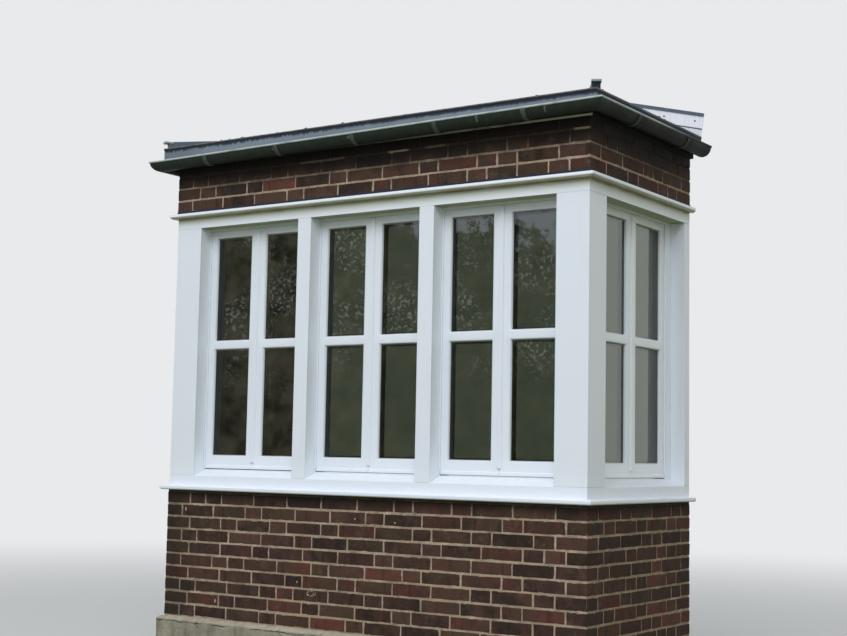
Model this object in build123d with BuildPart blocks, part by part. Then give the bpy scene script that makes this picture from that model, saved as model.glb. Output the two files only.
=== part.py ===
"""Brick and timber bay window with a hipped zinc roof.

The bay stands on the ground and is open at the back, where it meets the wall of its building.
X runs along the front, -Y points out of the building and Z points up from the ground.
"""
import os
from math import atan2, degrees

from build123d import *

# Driving dimensions, in millimetres

# Plan
bay_width = 2980            # brick face to brick face across the front
bay_depth = 1290            # front brick face to the face of the building's wall
wall_thickness = 250        # one brick length

# Masonry heights
plinth_height = 400
plinth_projection = 38
plinth_weathering = 16      # fall of the sloped top of the plinth
course_height = 77          # brick 65 and bed joint 12
apron_courses = 10
band_courses = 4
sill_bed = 10               # mortar under the timber sill

# Timber sill
nose_thickness = 28
nose_projection = 39
nose_chamfer = 6            # at the upper and lower edge of the nose
throat_width = 8            # drip groove under the nose
throat_depth = 5
throat_inset = 8            # wood between the groove and the chamfer
sill_beam_height = 62
sill_rise = 35              # upward slope of the sill between the posts

mitre_joint = 0.6           # open joint between lengths of trim that meet at a corner

# Posts
post_height = 1564
post_setback = 5            # post face behind the brick face
corner_post_size = 200
mullion_width = 100
wall_post_width = 70
post_depth = 200
post_rebate = 35            # how far a window frame reaches behind a post

# Window frames and leaves
frame_recess = 90           # frame face behind the post face
frame_depth = 68
frame_reveal_front = 8      # frame stile seen beside a front leaf
frame_reveal_side = 75      # frame stile seen beside a side leaf
frame_reveal_head = 15
frame_foot = 44             # frame rail under the leaves
leaf_gap = 3
leaf_setback = 10           # leaf face behind the frame face
rebate_lap = 10             # frame lip in front of the leaf edge, which closes against it
seat_clearance = 0.3
leaf_thickness = 56
leaf_stile = 46
leaf_foot = 85
leaf_chamfer = 7
glazing_bar = 57
lower_pane_height = 664
astragal_width = 31
astragal_projection = 9
astragal_taper = 30         # degrees
astragal_lift = 40          # foot of the astragal above the foot of the leaf
drip_bar_height = 24
drip_bar_projection = 9
drip_bar_taper = 20         # degrees
pane_setback = 18           # glass behind the leaf face
pane_thickness = 24

# Head above the windows
fascia_height = 68
head_rebate = 30            # how far a window frame reaches up behind the fascia
cap_thickness = 28
cap_projection = 37
cap_chamfer = 12
cap_bed = 12                # mortar and felt between the cap and the brick band

# Room side
floor_thickness = 160
ceiling_thickness = 25
plaster_thickness = 15
room_board_thickness = 26
room_board_nosing = 40

# Eaves and roof
frieze_thickness = 20
frieze_overlap = 18         # frieze board in front of the top brick course
frieze_height = 99
deck_thickness = 28
deck_reach = 70             # deck edge out from the brick face
sheet_thickness = 3
sheet_drip = 10             # fold of the roof sheet over the deck edge
roof_rise = 210
side_roof_run = 800         # plan length of the side slopes
eaves_strip_height = 42
eaves_strip_thickness = 3
rafter_width = 60
rafter_count = 5
bearer_depth = 60
hip_batten_width = 46
hip_batten_height = 40
hip_batten_round = 8
hip_batten_start = 28       # foot of the batten, up the hip from the roof corner
flashing_height = 140
flashing_thickness = 3
flashing_flare = 20         # upper corners out beyond the roof edge
flashing_cap_height = 18
flashing_cap_thickness = 8

# Gutter
gutter_width = 134
gutter_depth = 58
gutter_sheet = 2
gutter_bead = 12            # diameter of the rolled front edge
gutter_rim_drop = 79        # middle of the front rim below the top of the roof deck
gutter_fall = 28            # right corner of the gutter above its left corner
stop_end_drop = 8           # stop ends below the rim
gutter_mitre_joint = 1.2    # filled with solder
strap_width = 26
strap_thickness = 4
front_strap_count = 5
side_strap_count = 2
strap_tail = 16             # strap carried up the frieze board above the rim
strap_inset = 340           # first and last front strap in from the brick corners
strap_clearance = 0.5

# Levels, measured up from the ground
apron_top = plinth_height + apron_courses * course_height + sill_bed
sill_top = apron_top + nose_thickness + sill_beam_height
post_top = sill_top + post_height
cap_bottom = post_top + fascia_height
cap_top = cap_bottom + cap_thickness
band_top = cap_top + cap_bed + band_courses * course_height
frieze_bottom = band_top - frieze_overlap
deck_bottom = frieze_bottom + frieze_height
deck_top = deck_bottom + deck_thickness
gutter_rim = deck_top - gutter_rim_drop
floor_top = plinth_height

# Places in plan
half_width = bay_width / 2
back_y = (bay_depth + gutter_width + gutter_bead / 2) / 2
face_y = back_y - bay_depth
overrun = 300               # extra length of a run before its corner mitre is cut
inner_half = half_width - wall_thickness
inner_face_y = face_y + wall_thickness

# Windows in plan
front_opening = (bay_width - 2 * corner_post_size - 2 * mullion_width - 2 * post_setback) / 3
opening_left = -half_width + post_setback + corner_post_size
front_centres = [
    opening_left + front_opening / 2 + index * (front_opening + mullion_width) for index in range(3)
]
mullion_centres = [
    opening_left + front_opening + mullion_width / 2,
    opening_left + 2 * front_opening + 1.5 * mullion_width,
]
side_start = face_y + post_setback + corner_post_size
side_end = back_y - wall_post_width
side_opening = side_end - side_start
frame_back = post_setback + frame_recess + frame_depth

# Section planes: x points out of the bay, y points up
FRONT_RUN = Plane(origin=(half_width + overrun, face_y, 0), x_dir=(0, -1, 0), z_dir=(-1, 0, 0))
LEFT_RUN = Plane(origin=(-half_width, face_y - overrun, 0), x_dir=(-1, 0, 0), z_dir=(0, 1, 0))
FRONT_LENGTH = bay_width + 2 * overrun
SIDE_LENGTH = bay_depth + overrun

# Mitre planes through the two front corners
FRONT_LEFT_MITRE = Plane(origin=(-half_width, face_y, 0), z_dir=(1, -1, 0))
FRONT_RIGHT_MITRE = Plane(origin=(half_width, face_y, 0), z_dir=(-1, -1, 0))
LEFT_MITRE = Plane(origin=(-half_width, face_y, 0), z_dir=(-1, 1, 0))

os.makedirs("parts", exist_ok=True)


def save(builder, name):
    """Label a finished piece and write it as one STEP file."""
    builder.part.label = name
    export_step(builder.part, f"parts/{name}.step")


def front_run(profile, joint=0):
    """Run a profile along the front, mitred at both corners; joint opens each mitre."""
    with BuildPart() as run:
        with BuildSketch(FRONT_RUN):
            add(profile)
        extrude(amount=FRONT_LENGTH)
        split(bisect_by=FRONT_LEFT_MITRE.offset(joint / 2), keep=Keep.TOP)
        split(bisect_by=FRONT_RIGHT_MITRE.offset(joint / 2), keep=Keep.TOP)
    return run


def left_run(profile, joint=0):
    """Run a profile along the left side, from its corner mitre to the building's wall."""
    with BuildPart() as run:
        with BuildSketch(LEFT_RUN):
            add(profile)
        extrude(amount=SIDE_LENGTH)
        split(bisect_by=LEFT_MITRE.offset(joint / 2), keep=Keep.TOP)
    return run


def mirrored(builder):
    """The same piece on the other side of the bay."""
    with BuildPart() as other:
        mirror(builder.part, about=Plane.YZ)
    return other


def three_runs(profile, name):
    """Front, left and right pieces of one profile, each in its own file."""
    left = left_run(profile)
    save(front_run(profile), f"{name}_front")
    save(left, f"{name}_left")
    save(mirrored(left), f"{name}_right")


def three_lengths(profile, name):
    """Front, left and right lengths of one profile in one file, with open mitre joints."""
    left = left_run(profile, mitre_joint)
    with BuildPart() as lengths:
        add(front_run(profile, mitre_joint).part)
        add(left.part)
        mirror(left.part, about=Plane.YZ)
    save(lengths, name)


def outline(*points):
    """Straight-sided profile: x points out of the bay and y up."""
    with BuildSketch() as profile:
        with BuildLine():
            Polyline(*points, close=True)
        make_face()
    return profile.sketch


# Masonry


plinth_profile = outline(
    (-wall_thickness, 0),
    (plinth_projection, 0),
    (plinth_projection, plinth_height - plinth_weathering),
    (0, plinth_height),
    (-wall_thickness, plinth_height),
)


room_board_top = sill_top
room_board_bottom = room_board_top - room_board_thickness

# Brick wall under the windows, stepped up behind the timber sill
apron_profile = outline(
    (-wall_thickness, plinth_height),
    (0, plinth_height),
    (0, apron_top),
    (-post_depth, apron_top),
    (-post_depth, room_board_bottom),
    (-wall_thickness, room_board_bottom),
)

band_profile = outline(
    (-wall_thickness, cap_top),
    (0, cap_top),
    (0, band_top),
    (-wall_thickness, band_top),
)

three_runs(plinth_profile, "plinth")
three_runs(apron_profile, "apron")
three_runs(band_profile, "band")


# Floor, ceiling and plaster on the room side

with BuildPart() as floor:
    with BuildSketch(Plane.XY.offset(floor_top)):
        with Locations((0, inner_face_y)):
            Rectangle(2 * inner_half, back_y - inner_face_y, align=(Align.CENTER, Align.MIN))
    extrude(amount=-floor_thickness)
save(floor, "floor_slab")

with BuildPart() as ceiling:
    with BuildSketch(Plane.XY.offset(band_top)):
        with Locations((0, inner_face_y)):
            Rectangle(2 * inner_half, back_y - inner_face_y, align=(Align.CENTER, Align.MIN))
    extrude(amount=-ceiling_thickness)
save(ceiling, "ceiling")


with BuildPart() as room_plaster:
    with BuildSketch(Plane.XY.offset(floor_top)):
        with Locations((0, inner_face_y)):
            Rectangle(
                2 * (inner_half - plaster_thickness - mitre_joint),
                plaster_thickness,
                align=(Align.CENTER, Align.MIN),
            )
        with Locations((-inner_half, back_y)):
            Rectangle(plaster_thickness, back_y - inner_face_y, align=(Align.MIN, Align.MAX))
        with Locations((inner_half, back_y)):
            Rectangle(plaster_thickness, back_y - inner_face_y, align=(Align.MAX, Align.MAX))
    extrude(amount=room_board_bottom - floor_top)
save(room_plaster, "room_plaster")


# Timber sill: projecting nose, beam under the posts and the slope between them


nose_top = apron_top + nose_thickness
throat_front = nose_projection - nose_chamfer - throat_inset
throat_back = throat_front - throat_width
sill_profile = outline(
    (-post_depth, apron_top),
    (throat_back, apron_top),
    (throat_back, apron_top + throat_depth),
    (throat_front, apron_top + throat_depth),
    (throat_front, apron_top),
    (nose_projection - nose_chamfer, apron_top),
    (nose_projection, apron_top + nose_chamfer),
    (nose_projection, nose_top - nose_chamfer),
    (-post_setback, nose_top),
    (-post_setback, sill_top),
    (-post_depth, sill_top),
)


# Sloped top of the sill, from the front edge up to the window frame
slope_profile = outline(
    (-post_setback, sill_top),
    (-post_setback - frame_recess, sill_top),
    (-post_setback - frame_recess, sill_top + sill_rise),
)


with BuildPart() as sill_front:
    add(front_run(sill_profile).part)
    for centre in front_centres:
        slope_plane = Plane(
            origin=(centre + front_opening / 2, face_y, 0), x_dir=(0, -1, 0), z_dir=(-1, 0, 0)
        )
        with BuildSketch(slope_plane):
            add(slope_profile)
        extrude(amount=front_opening)
save(sill_front, "sill_front")

with BuildPart() as sill_left:
    add(left_run(sill_profile).part)
    with BuildSketch(Plane(origin=(-half_width, side_start, 0), x_dir=(-1, 0, 0), z_dir=(0, 1, 0))):
        add(slope_profile)
    extrude(amount=side_opening)
save(sill_left, "sill_left")
save(mirrored(sill_left), "sill_right")


# Room-side window board on the wall behind the sill


room_board_profile = outline(
    (-post_depth, room_board_bottom),
    (-post_depth, room_board_top),
    (-wall_thickness - room_board_nosing, room_board_top),
    (-wall_thickness - room_board_nosing, room_board_bottom),
)


three_lengths(room_board_profile, "room_board")


# Posts, rebated behind for the window frames

rebate_front = post_setback + frame_recess


def rebate_block(x, y, x_align, y_align, x_size, y_size):
    """Cut a frame rebate over the whole height of a post."""
    with Locations((x, y, sill_top)):
        Box(
            x_size, y_size, post_height,
            align=(x_align, y_align, Align.MIN), mode=Mode.SUBTRACT,
        )


with BuildPart() as corner_post_left:
    with BuildSketch(Plane.XY.offset(sill_top)):
        with Locations((-half_width + post_setback, face_y + post_setback)):
            Rectangle(corner_post_size, corner_post_size, align=(Align.MIN, Align.MIN))
    extrude(amount=post_height)
    rebate_block(
        opening_left, face_y + rebate_front, Align.MAX, Align.MIN, post_rebate, frame_depth
    )
    rebate_block(
        -half_width + rebate_front, side_start, Align.MIN, Align.MAX, frame_depth, post_rebate
    )
save(corner_post_left, "corner_post_left")
save(mirrored(corner_post_left), "corner_post_right")

with BuildPart() as mullions:
    with BuildSketch(Plane.XY.offset(sill_top)):
        for mullion_x in mullion_centres:
            with Locations((mullion_x, face_y + post_setback)):
                Rectangle(
                    mullion_width, post_depth - post_setback, align=(Align.CENTER, Align.MIN)
                )
    extrude(amount=post_height)
    for mullion_x in mullion_centres:
        for side, rebate_align in ((-1, Align.MIN), (1, Align.MAX)):
            rebate_block(
                mullion_x + side * mullion_width / 2, face_y + rebate_front,
                rebate_align, Align.MIN, post_rebate, frame_depth,
            )
save(mullions, "mullions")

with BuildPart() as wall_post_left:
    with BuildSketch(Plane.XY.offset(sill_top)):
        with Locations((-half_width + post_setback, back_y)):
            Rectangle(post_depth - post_setback, wall_post_width, align=(Align.MIN, Align.MAX))
    extrude(amount=post_height)
    rebate_block(
        -half_width + rebate_front, side_end, Align.MIN, Align.MIN, frame_depth, post_rebate
    )
save(wall_post_left, "wall_post_left")
save(mirrored(wall_post_left), "wall_post_right")


# Windows: a frame, two leaves and four panes each

frame_top = post_top + head_rebate
leaf_bottom = sill_top + frame_foot
lip_bottom = post_top - frame_reveal_head
leaf_top = lip_bottom + rebate_lap
leaf_height = leaf_top - leaf_bottom
lower_pane_bottom = leaf_bottom + leaf_foot
upper_pane_bottom = lower_pane_bottom + lower_pane_height + glazing_bar
upper_pane_height = lip_bottom - leaf_stile - upper_pane_bottom


def leaf_sizes(opening, reveal):
    """Width of one leaf and of its panes for a window of this opening."""
    clear_width = opening - 2 * reveal
    leaf_width = (clear_width + 2 * rebate_lap - leaf_gap) / 2
    pane_width = (clear_width - 4 * leaf_stile - astragal_width) / 2
    return leaf_width, pane_width


def window_frame(opening, reveal, plane):
    """Frame round both leaves, with a lip that they close against; the plane is its outer face."""
    clear_width = opening - 2 * reveal
    leaf_opening_width = clear_width + 2 * rebate_lap + 2 * leaf_gap
    leaf_opening_bottom = leaf_bottom - leaf_gap
    with BuildPart() as frame:
        with BuildSketch(plane):
            with Locations((0, sill_top)):
                Rectangle(
                    opening + 2 * post_rebate, frame_top - sill_top, align=(Align.CENTER, Align.MIN)
                )
            with Locations((0, leaf_opening_bottom)):
                Rectangle(
                    leaf_opening_width,
                    leaf_height + 2 * leaf_gap,
                    align=(Align.CENTER, Align.MIN),
                    mode=Mode.SUBTRACT,
                )
        extrude(amount=-frame_depth)
        with BuildSketch(plane):
            with Locations((0, leaf_opening_bottom)):
                Rectangle(
                    leaf_opening_width, leaf_height + 2 * leaf_gap, align=(Align.CENTER, Align.MIN)
                )
                Rectangle(
                    clear_width,
                    lip_bottom - leaf_opening_bottom,
                    align=(Align.CENTER, Align.MIN),
                    mode=Mode.SUBTRACT,
                )
        extrude(amount=seat_clearance - leaf_setback)
    return frame


def window_leaves(opening, reveal, plane):
    """Both leaves; the right one carries the astragal, and each has a drip bar at its foot."""
    leaf_width, pane_width = leaf_sizes(opening, reveal)
    leaf_plane = plane.offset(-leaf_setback)
    with BuildPart() as leaves:
        for side in (-1, 1):
            leaf_x = side * (leaf_width + leaf_gap) / 2
            outer_x = leaf_x + side * leaf_width / 2
            pane_x = outer_x - side * (rebate_lap + leaf_stile + pane_width / 2)
            with BuildSketch(leaf_plane):
                with Locations((leaf_x, leaf_bottom)):
                    Rectangle(leaf_width, leaf_height, align=(Align.CENTER, Align.MIN))
                with Locations((pane_x, lower_pane_bottom)):
                    Rectangle(
                        pane_width, lower_pane_height,
                        align=(Align.CENTER, Align.MIN), mode=Mode.SUBTRACT,
                    )
                with Locations((pane_x, upper_pane_bottom)):
                    Rectangle(
                        pane_width, upper_pane_height,
                        align=(Align.CENTER, Align.MIN), mode=Mode.SUBTRACT,
                    )
            extrude(amount=-leaf_thickness)
            pane_edges = [
                edge for edge in leaves.edges()
                if leaf_plane.to_local_coords(edge).bounding_box().min.Z > -0.01
                and abs(leaf_plane.to_local_coords(edge.center()).X - pane_x) < pane_width / 2 + 1
                and lower_pane_bottom - 1
                < leaf_plane.to_local_coords(edge.center()).Y
                < upper_pane_bottom + upper_pane_height + 1
            ]
            chamfer(pane_edges, leaf_chamfer)
            with BuildSketch(leaf_plane):
                with Locations((leaf_x - side * rebate_lap / 2, leaf_bottom)):
                    Rectangle(
                        leaf_width - rebate_lap - 2 * leaf_gap, drip_bar_height,
                        align=(Align.CENTER, Align.MIN),
                    )
            extrude(amount=drip_bar_projection, taper=drip_bar_taper)
        astragal_height = lip_bottom - leaf_bottom - astragal_lift - leaf_gap
        with BuildSketch(leaf_plane):
            with Locations((leaf_gap / 2, leaf_bottom + astragal_lift)):
                Rectangle(
                    (astragal_width - leaf_gap) / 2, astragal_height,
                    align=(Align.MIN, Align.MIN),
                )
        extrude(amount=seat_clearance)
        with BuildSketch(leaf_plane.offset(seat_clearance)):
            with Locations((0, leaf_bottom + astragal_lift)):
                Rectangle(astragal_width, astragal_height, align=(Align.CENTER, Align.MIN))
        extrude(amount=astragal_projection, taper=astragal_taper)
    return leaves


def window_panes(opening, reveal, planes):
    """Four double-glazed panes for each window plane."""
    leaf_width, pane_width = leaf_sizes(opening, reveal)
    with BuildPart() as panes:
        for plane in planes:
            for side in (-1, 1):
                outer_x = side * (leaf_width + leaf_gap / 2)
                pane_x = outer_x - side * (rebate_lap + leaf_stile + pane_width / 2)
                with BuildSketch(plane.offset(-leaf_setback - pane_setback)):
                    with Locations((pane_x, lower_pane_bottom)):
                        Rectangle(pane_width, lower_pane_height, align=(Align.CENTER, Align.MIN))
                    with Locations((pane_x, upper_pane_bottom)):
                        Rectangle(pane_width, upper_pane_height, align=(Align.CENTER, Align.MIN))
                extrude(amount=-pane_thickness)
    return panes


front_window_planes = [
    Plane(origin=(centre_x, face_y + rebate_front, 0), x_dir=(1, 0, 0), z_dir=(0, -1, 0))
    for centre_x in front_centres
]
for number, window_plane in enumerate(front_window_planes, start=1):
    save(
        window_frame(front_opening, frame_reveal_front, window_plane), f"frame_window_{number}"
    )
    save(
        window_leaves(front_opening, frame_reveal_front, window_plane), f"leaves_window_{number}"
    )
save(window_panes(front_opening, frame_reveal_front, front_window_planes), "glass_front")

left_window_plane = Plane(
    origin=(-half_width + rebate_front, (side_start + side_end) / 2, 0),
    x_dir=(0, -1, 0), z_dir=(-1, 0, 0),
)
frame_side_left = window_frame(side_opening, frame_reveal_side, left_window_plane)
leaves_side_left = window_leaves(side_opening, frame_reveal_side, left_window_plane)
glass_left = window_panes(side_opening, frame_reveal_side, [left_window_plane])
save(frame_side_left, "frame_side_left")
save(mirrored(frame_side_left), "frame_side_right")
save(leaves_side_left, "leaves_side_left")
save(mirrored(leaves_side_left), "leaves_side_right")
save(glass_left, "glass_left")
save(mirrored(glass_left), "glass_right")


# Head above the windows, with its fascia board, and the cap under the brick band


head_profile = outline(
    (-post_setback, post_top),
    (-post_setback, cap_top),
    (-wall_thickness, cap_top),
    (-wall_thickness, post_top),
    (-frame_back, post_top),
    (-frame_back, frame_top),
    (-rebate_front, frame_top),
    (-rebate_front, post_top),
)


cap_profile = outline(
    (-post_setback, cap_bottom),
    (cap_projection - cap_chamfer, cap_bottom),
    (cap_projection, cap_bottom + cap_chamfer),
    (cap_projection, cap_top),
    (-post_setback, cap_top),
)


three_runs(head_profile, "head")
three_lengths(cap_profile, "cap_moulding")


# Frieze board behind the gutter


frieze_profile = outline(
    (0, frieze_bottom),
    (frieze_thickness, frieze_bottom),
    (frieze_thickness, deck_bottom),
    (0, deck_bottom),
)


three_lengths(frieze_profile, "frieze_board")


# Roof: rafters and bearer, deck, zinc sheet and hip battens


def trim_to_roof(height, reach):
    """Cut the current part down to the three roof slopes that start at this eaves line."""
    front_line = (0, face_y - reach, height)
    front_run_length = bay_depth + reach
    split(bisect_by=Plane(origin=front_line, z_dir=(0, -roof_rise, front_run_length)), keep=Keep.BOTTOM)
    for side in (-1, 1):
        side_line = (side * (half_width + reach), 0, height)
        split(
            bisect_by=Plane(origin=side_line, z_dir=(side * roof_rise, 0, side_roof_run)),
            keep=Keep.BOTTOM,
        )


def roof_block(bottom, height, reach):
    """Solid under the roof slopes, out to this reach beyond the brick face."""
    with BuildPart() as block:
        with BuildSketch(Plane.XY.offset(bottom)):
            with Locations((0, back_y)):
                Rectangle(
                    bay_width + 2 * reach, bay_depth + reach, align=(Align.CENTER, Align.MAX)
                )
        extrude(amount=height - bottom + roof_rise + deck_thickness)
        trim_to_roof(height, reach)
    return block


with BuildPart() as roof_deck:
    add(roof_block(deck_bottom, deck_top, deck_reach).part)
    add(
        roof_block(deck_bottom - deck_thickness, deck_bottom, deck_reach).part, mode=Mode.SUBTRACT
    )
save(roof_deck, "roof_deck")

sheet_reach = deck_reach + sheet_thickness
with BuildPart() as roof_sheet:
    add(roof_block(deck_top - sheet_drip, deck_top + sheet_thickness, deck_reach).part)
    add(
        roof_block(deck_top - 2 * sheet_drip, deck_top, deck_reach).part, mode=Mode.SUBTRACT
    )
    for side in (-1, 1):
        with BuildSketch(Plane.XY.offset(deck_top - sheet_drip)):
            with Locations((side * (half_width + deck_reach), back_y)):
                Rectangle(
                    sheet_thickness,
                    bay_depth + deck_reach,
                    align=(Align.MIN if side > 0 else Align.MAX, Align.MAX),
                )
        extrude(amount=sheet_drip + sheet_thickness)
    with BuildSketch(Plane.XY.offset(deck_top - sheet_drip)):
        with Locations((0, face_y - deck_reach)):
            Rectangle(
                bay_width + 2 * sheet_reach, sheet_thickness, align=(Align.CENTER, Align.MAX)
            )
    extrude(amount=sheet_drip + sheet_thickness)
save(roof_sheet, "roof_sheet")


# Zinc strip: nailed under the deck and turned down into the gutter
eaves_strip_profile = outline(
    (frieze_thickness, deck_bottom),
    (deck_reach, deck_bottom),
    (deck_reach, deck_bottom - eaves_strip_height),
    (deck_reach - eaves_strip_thickness, deck_bottom - eaves_strip_height),
    (deck_reach - eaves_strip_thickness, deck_bottom - eaves_strip_thickness),
    (frieze_thickness, deck_bottom - eaves_strip_thickness),
)


three_lengths(eaves_strip_profile, "eaves_strip")

rafter_spacing = (bay_width - rafter_width) / (rafter_count - 1)
with BuildPart() as rafters:
    with BuildSketch(Plane.XY.offset(band_top)):
        with Locations((0, face_y)):
            with GridLocations(rafter_spacing, 0, rafter_count, 1):
                Rectangle(
                    rafter_width, bay_depth - bearer_depth, align=(Align.CENTER, Align.MIN)
                )
    extrude(amount=roof_rise + frieze_height)
    trim_to_roof(deck_bottom, deck_reach)
save(rafters, "rafters")

with BuildPart() as wall_bearer:
    with BuildSketch(Plane.XY.offset(band_top)):
        with Locations((0, back_y)):
            Rectangle(bay_width, bearer_depth, align=(Align.CENTER, Align.MAX))
    extrude(amount=roof_rise + frieze_height)
    trim_to_roof(deck_bottom, deck_reach)
save(wall_bearer, "wall_bearer")


# Hip battens: from each front corner of the roof up to the building's wall

hip_corner = Vector(-half_width - deck_reach, face_y - deck_reach, deck_top + sheet_thickness)
hip_head = Vector(-half_width - deck_reach + side_roof_run, back_y, hip_corner.Z + roof_rise)
hip_direction = (hip_head - hip_corner).normalized()
hip_length = (hip_head - hip_corner).length
hip_plane = Plane(
    origin=hip_corner + hip_direction * hip_batten_start,
    x_dir=hip_direction.cross(Vector(0, 0, 1)),
    z_dir=hip_direction,
)

with BuildPart() as hip_batten_left:
    with BuildSketch(hip_plane):
        RectangleRounded(hip_batten_width, 2 * hip_batten_height, hip_batten_round)
    extrude(amount=hip_length)
    split(bisect_by=Plane.XZ.offset(flashing_thickness - back_y), keep=Keep.TOP)
    add(
        roof_block(deck_bottom - hip_batten_height, deck_top + sheet_thickness, deck_reach).part,
        mode=Mode.SUBTRACT,
    )
    add(roof_sheet.part, mode=Mode.SUBTRACT)

with BuildPart() as hip_battens:
    add(hip_batten_left.part)
    mirror(hip_batten_left.part, about=Plane.YZ)
save(hip_battens, "hip_battens")


# Flashing up the building's wall, along both side slopes and the level ridge between them

edge_x = half_width + deck_reach
ridge_x = edge_x - side_roof_run


def flare_at(height):
    """How far the slanted end of the flashing is beyond the roof edge at this height."""
    return flashing_flare * height / flashing_height


def flashing_outline(bottom, top):
    """Band on the building's wall between two heights above the roof sheet."""
    eaves = deck_top + sheet_thickness
    ridge = eaves + roof_rise
    return outline(
        (-edge_x - flare_at(bottom), eaves + bottom),
        (-ridge_x, ridge + bottom),
        (ridge_x, ridge + bottom),
        (edge_x + flare_at(bottom), eaves + bottom),
        (edge_x + flare_at(top), eaves + top),
        (ridge_x, ridge + top),
        (-ridge_x, ridge + top),
        (-edge_x - flare_at(top), eaves + top),
    )


flashing_sheet = flashing_outline(0, flashing_height)
flashing_strip = flashing_outline(flashing_height - flashing_cap_height, flashing_height)

with BuildPart() as wall_flashing:
    with BuildSketch(Plane.XZ.offset(-back_y)):
        add(flashing_sheet)
    extrude(amount=flashing_thickness)
save(wall_flashing, "wall_flashing")

with BuildPart() as flashing_cap:
    with BuildSketch(Plane.XZ.offset(-back_y + flashing_thickness)):
        add(flashing_strip)
    extrude(amount=flashing_cap_thickness)
save(flashing_cap, "flashing_cap")


# Half-round gutter with a rolled front bead, stop ends at the wall, and straps

bead_radius = gutter_bead / 2
gutter_radius = (gutter_width - frieze_thickness - strap_thickness) / 2
gutter_centre = gutter_width - gutter_radius

# Flattened half round, open at the top
with BuildSketch() as gutter_profile:
    with Locations((gutter_centre, gutter_rim)):
        Ellipse(gutter_radius, gutter_depth)
        Ellipse(gutter_radius - gutter_sheet, gutter_depth - gutter_sheet, mode=Mode.SUBTRACT)
        Rectangle(
            2 * gutter_width, 2 * gutter_depth,
            align=(Align.CENTER, Align.MIN), mode=Mode.SUBTRACT,
        )
    with Locations((gutter_width, gutter_rim)):
        Circle(bead_radius)

with BuildSketch() as stop_end_profile:
    with Locations((gutter_centre, gutter_rim)):
        Ellipse(gutter_radius, gutter_depth)
    with Locations((gutter_centre, gutter_rim - stop_end_drop)):
        Rectangle(
            2 * gutter_width, 2 * gutter_depth,
            align=(Align.CENTER, Align.MIN), mode=Mode.SUBTRACT,
        )

stop_end_plane = Plane(
    origin=(-half_width, back_y - gutter_sheet, 0), x_dir=(-1, 0, 0), z_dir=(0, 1, 0)
)
with BuildPart() as level_side_gutter:
    add(left_run(gutter_profile.sketch).part)
    with BuildSketch(stop_end_plane):
        add(stop_end_profile.sketch)
    extrude(amount=gutter_sheet)

# The front gutter falls towards the left corner, and each side gutter lies at its corner's height
gutter_corner_x = half_width + gutter_centre
fall_axis = Axis((0, 0, gutter_rim), (0, 1, 0))
fall_angle = -degrees(atan2(gutter_fall / 2, gutter_corner_x))
left_drop = Location((0, 0, -gutter_fall / 2))
right_lift = Location((0, 0, gutter_fall / 2))
with BuildPart() as gutter_front:
    add(front_run(gutter_profile.sketch, gutter_mitre_joint).part.rotate(fall_axis, fall_angle))
save(gutter_front, "gutter_front")
with BuildPart() as gutter_left:
    add(level_side_gutter.part.moved(left_drop))
save(gutter_left, "gutter_left")
with BuildPart() as gutter_right:
    add(mirrored(level_side_gutter).part.moved(right_lift))
save(gutter_right, "gutter_right")

# Strap under the gutter, from the bead round to the frieze board
with BuildSketch() as strap_profile:
    with Locations((gutter_centre, gutter_rim)):
        Ellipse(gutter_radius + strap_thickness, gutter_depth + strap_thickness)
        Ellipse(gutter_radius, gutter_depth, mode=Mode.SUBTRACT)
    with Locations((gutter_centre, gutter_rim)):
        Rectangle(
            4 * gutter_width, 2 * gutter_depth,
            align=(Align.CENTER, Align.MIN), mode=Mode.SUBTRACT,
        )
    with Locations((gutter_width, gutter_rim - bead_radius - strap_clearance)):
        Rectangle(
            gutter_width, gutter_depth,
            align=(Align.CENTER, Align.MIN), mode=Mode.SUBTRACT,
        )
    with Locations((frieze_thickness, gutter_rim)):
        Rectangle(strap_thickness, strap_tail, align=(Align.MIN, Align.MIN))

front_strap_spacing = (bay_width - 2 * strap_inset) / (front_strap_count - 1)
side_strap_spacing = bay_depth / side_strap_count
with BuildPart() as level_front_straps:
    for index in range(front_strap_count):
        strap_x = -half_width + strap_inset + index * front_strap_spacing + strap_width / 2
        with BuildSketch(Plane(origin=(strap_x, face_y, 0), x_dir=(0, -1, 0), z_dir=(-1, 0, 0))):
            add(strap_profile.sketch)
        extrude(amount=strap_width)

with BuildPart() as level_left_straps:
    for index in range(side_strap_count):
        strap_y = face_y + (index + 0.5) * side_strap_spacing - strap_width / 2
        with BuildSketch(Plane(origin=(-half_width, strap_y, 0), x_dir=(-1, 0, 0), z_dir=(0, 1, 0))):
            add(strap_profile.sketch)
        extrude(amount=strap_width)

with BuildPart() as gutter_straps:
    add(level_front_straps.part.rotate(fall_axis, fall_angle))
    add(level_left_straps.part.moved(left_drop))
    add(mirrored(level_left_straps).part.moved(right_lift))
save(gutter_straps, "gutter_straps")
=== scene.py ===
"""Looks for a brick and timber bay window with a hipped zinc roof.

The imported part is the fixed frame. X runs along the front, -Y points out of the building and
Z points up from the ground, in metres. Every piece is built where the frame says.
"""

import functools
import math
import random

import bmesh
import bpy
from bpy.props import FloatProperty, FloatVectorProperty, IntProperty, PointerProperty
from mathutils import Matrix, Vector, noise


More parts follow.
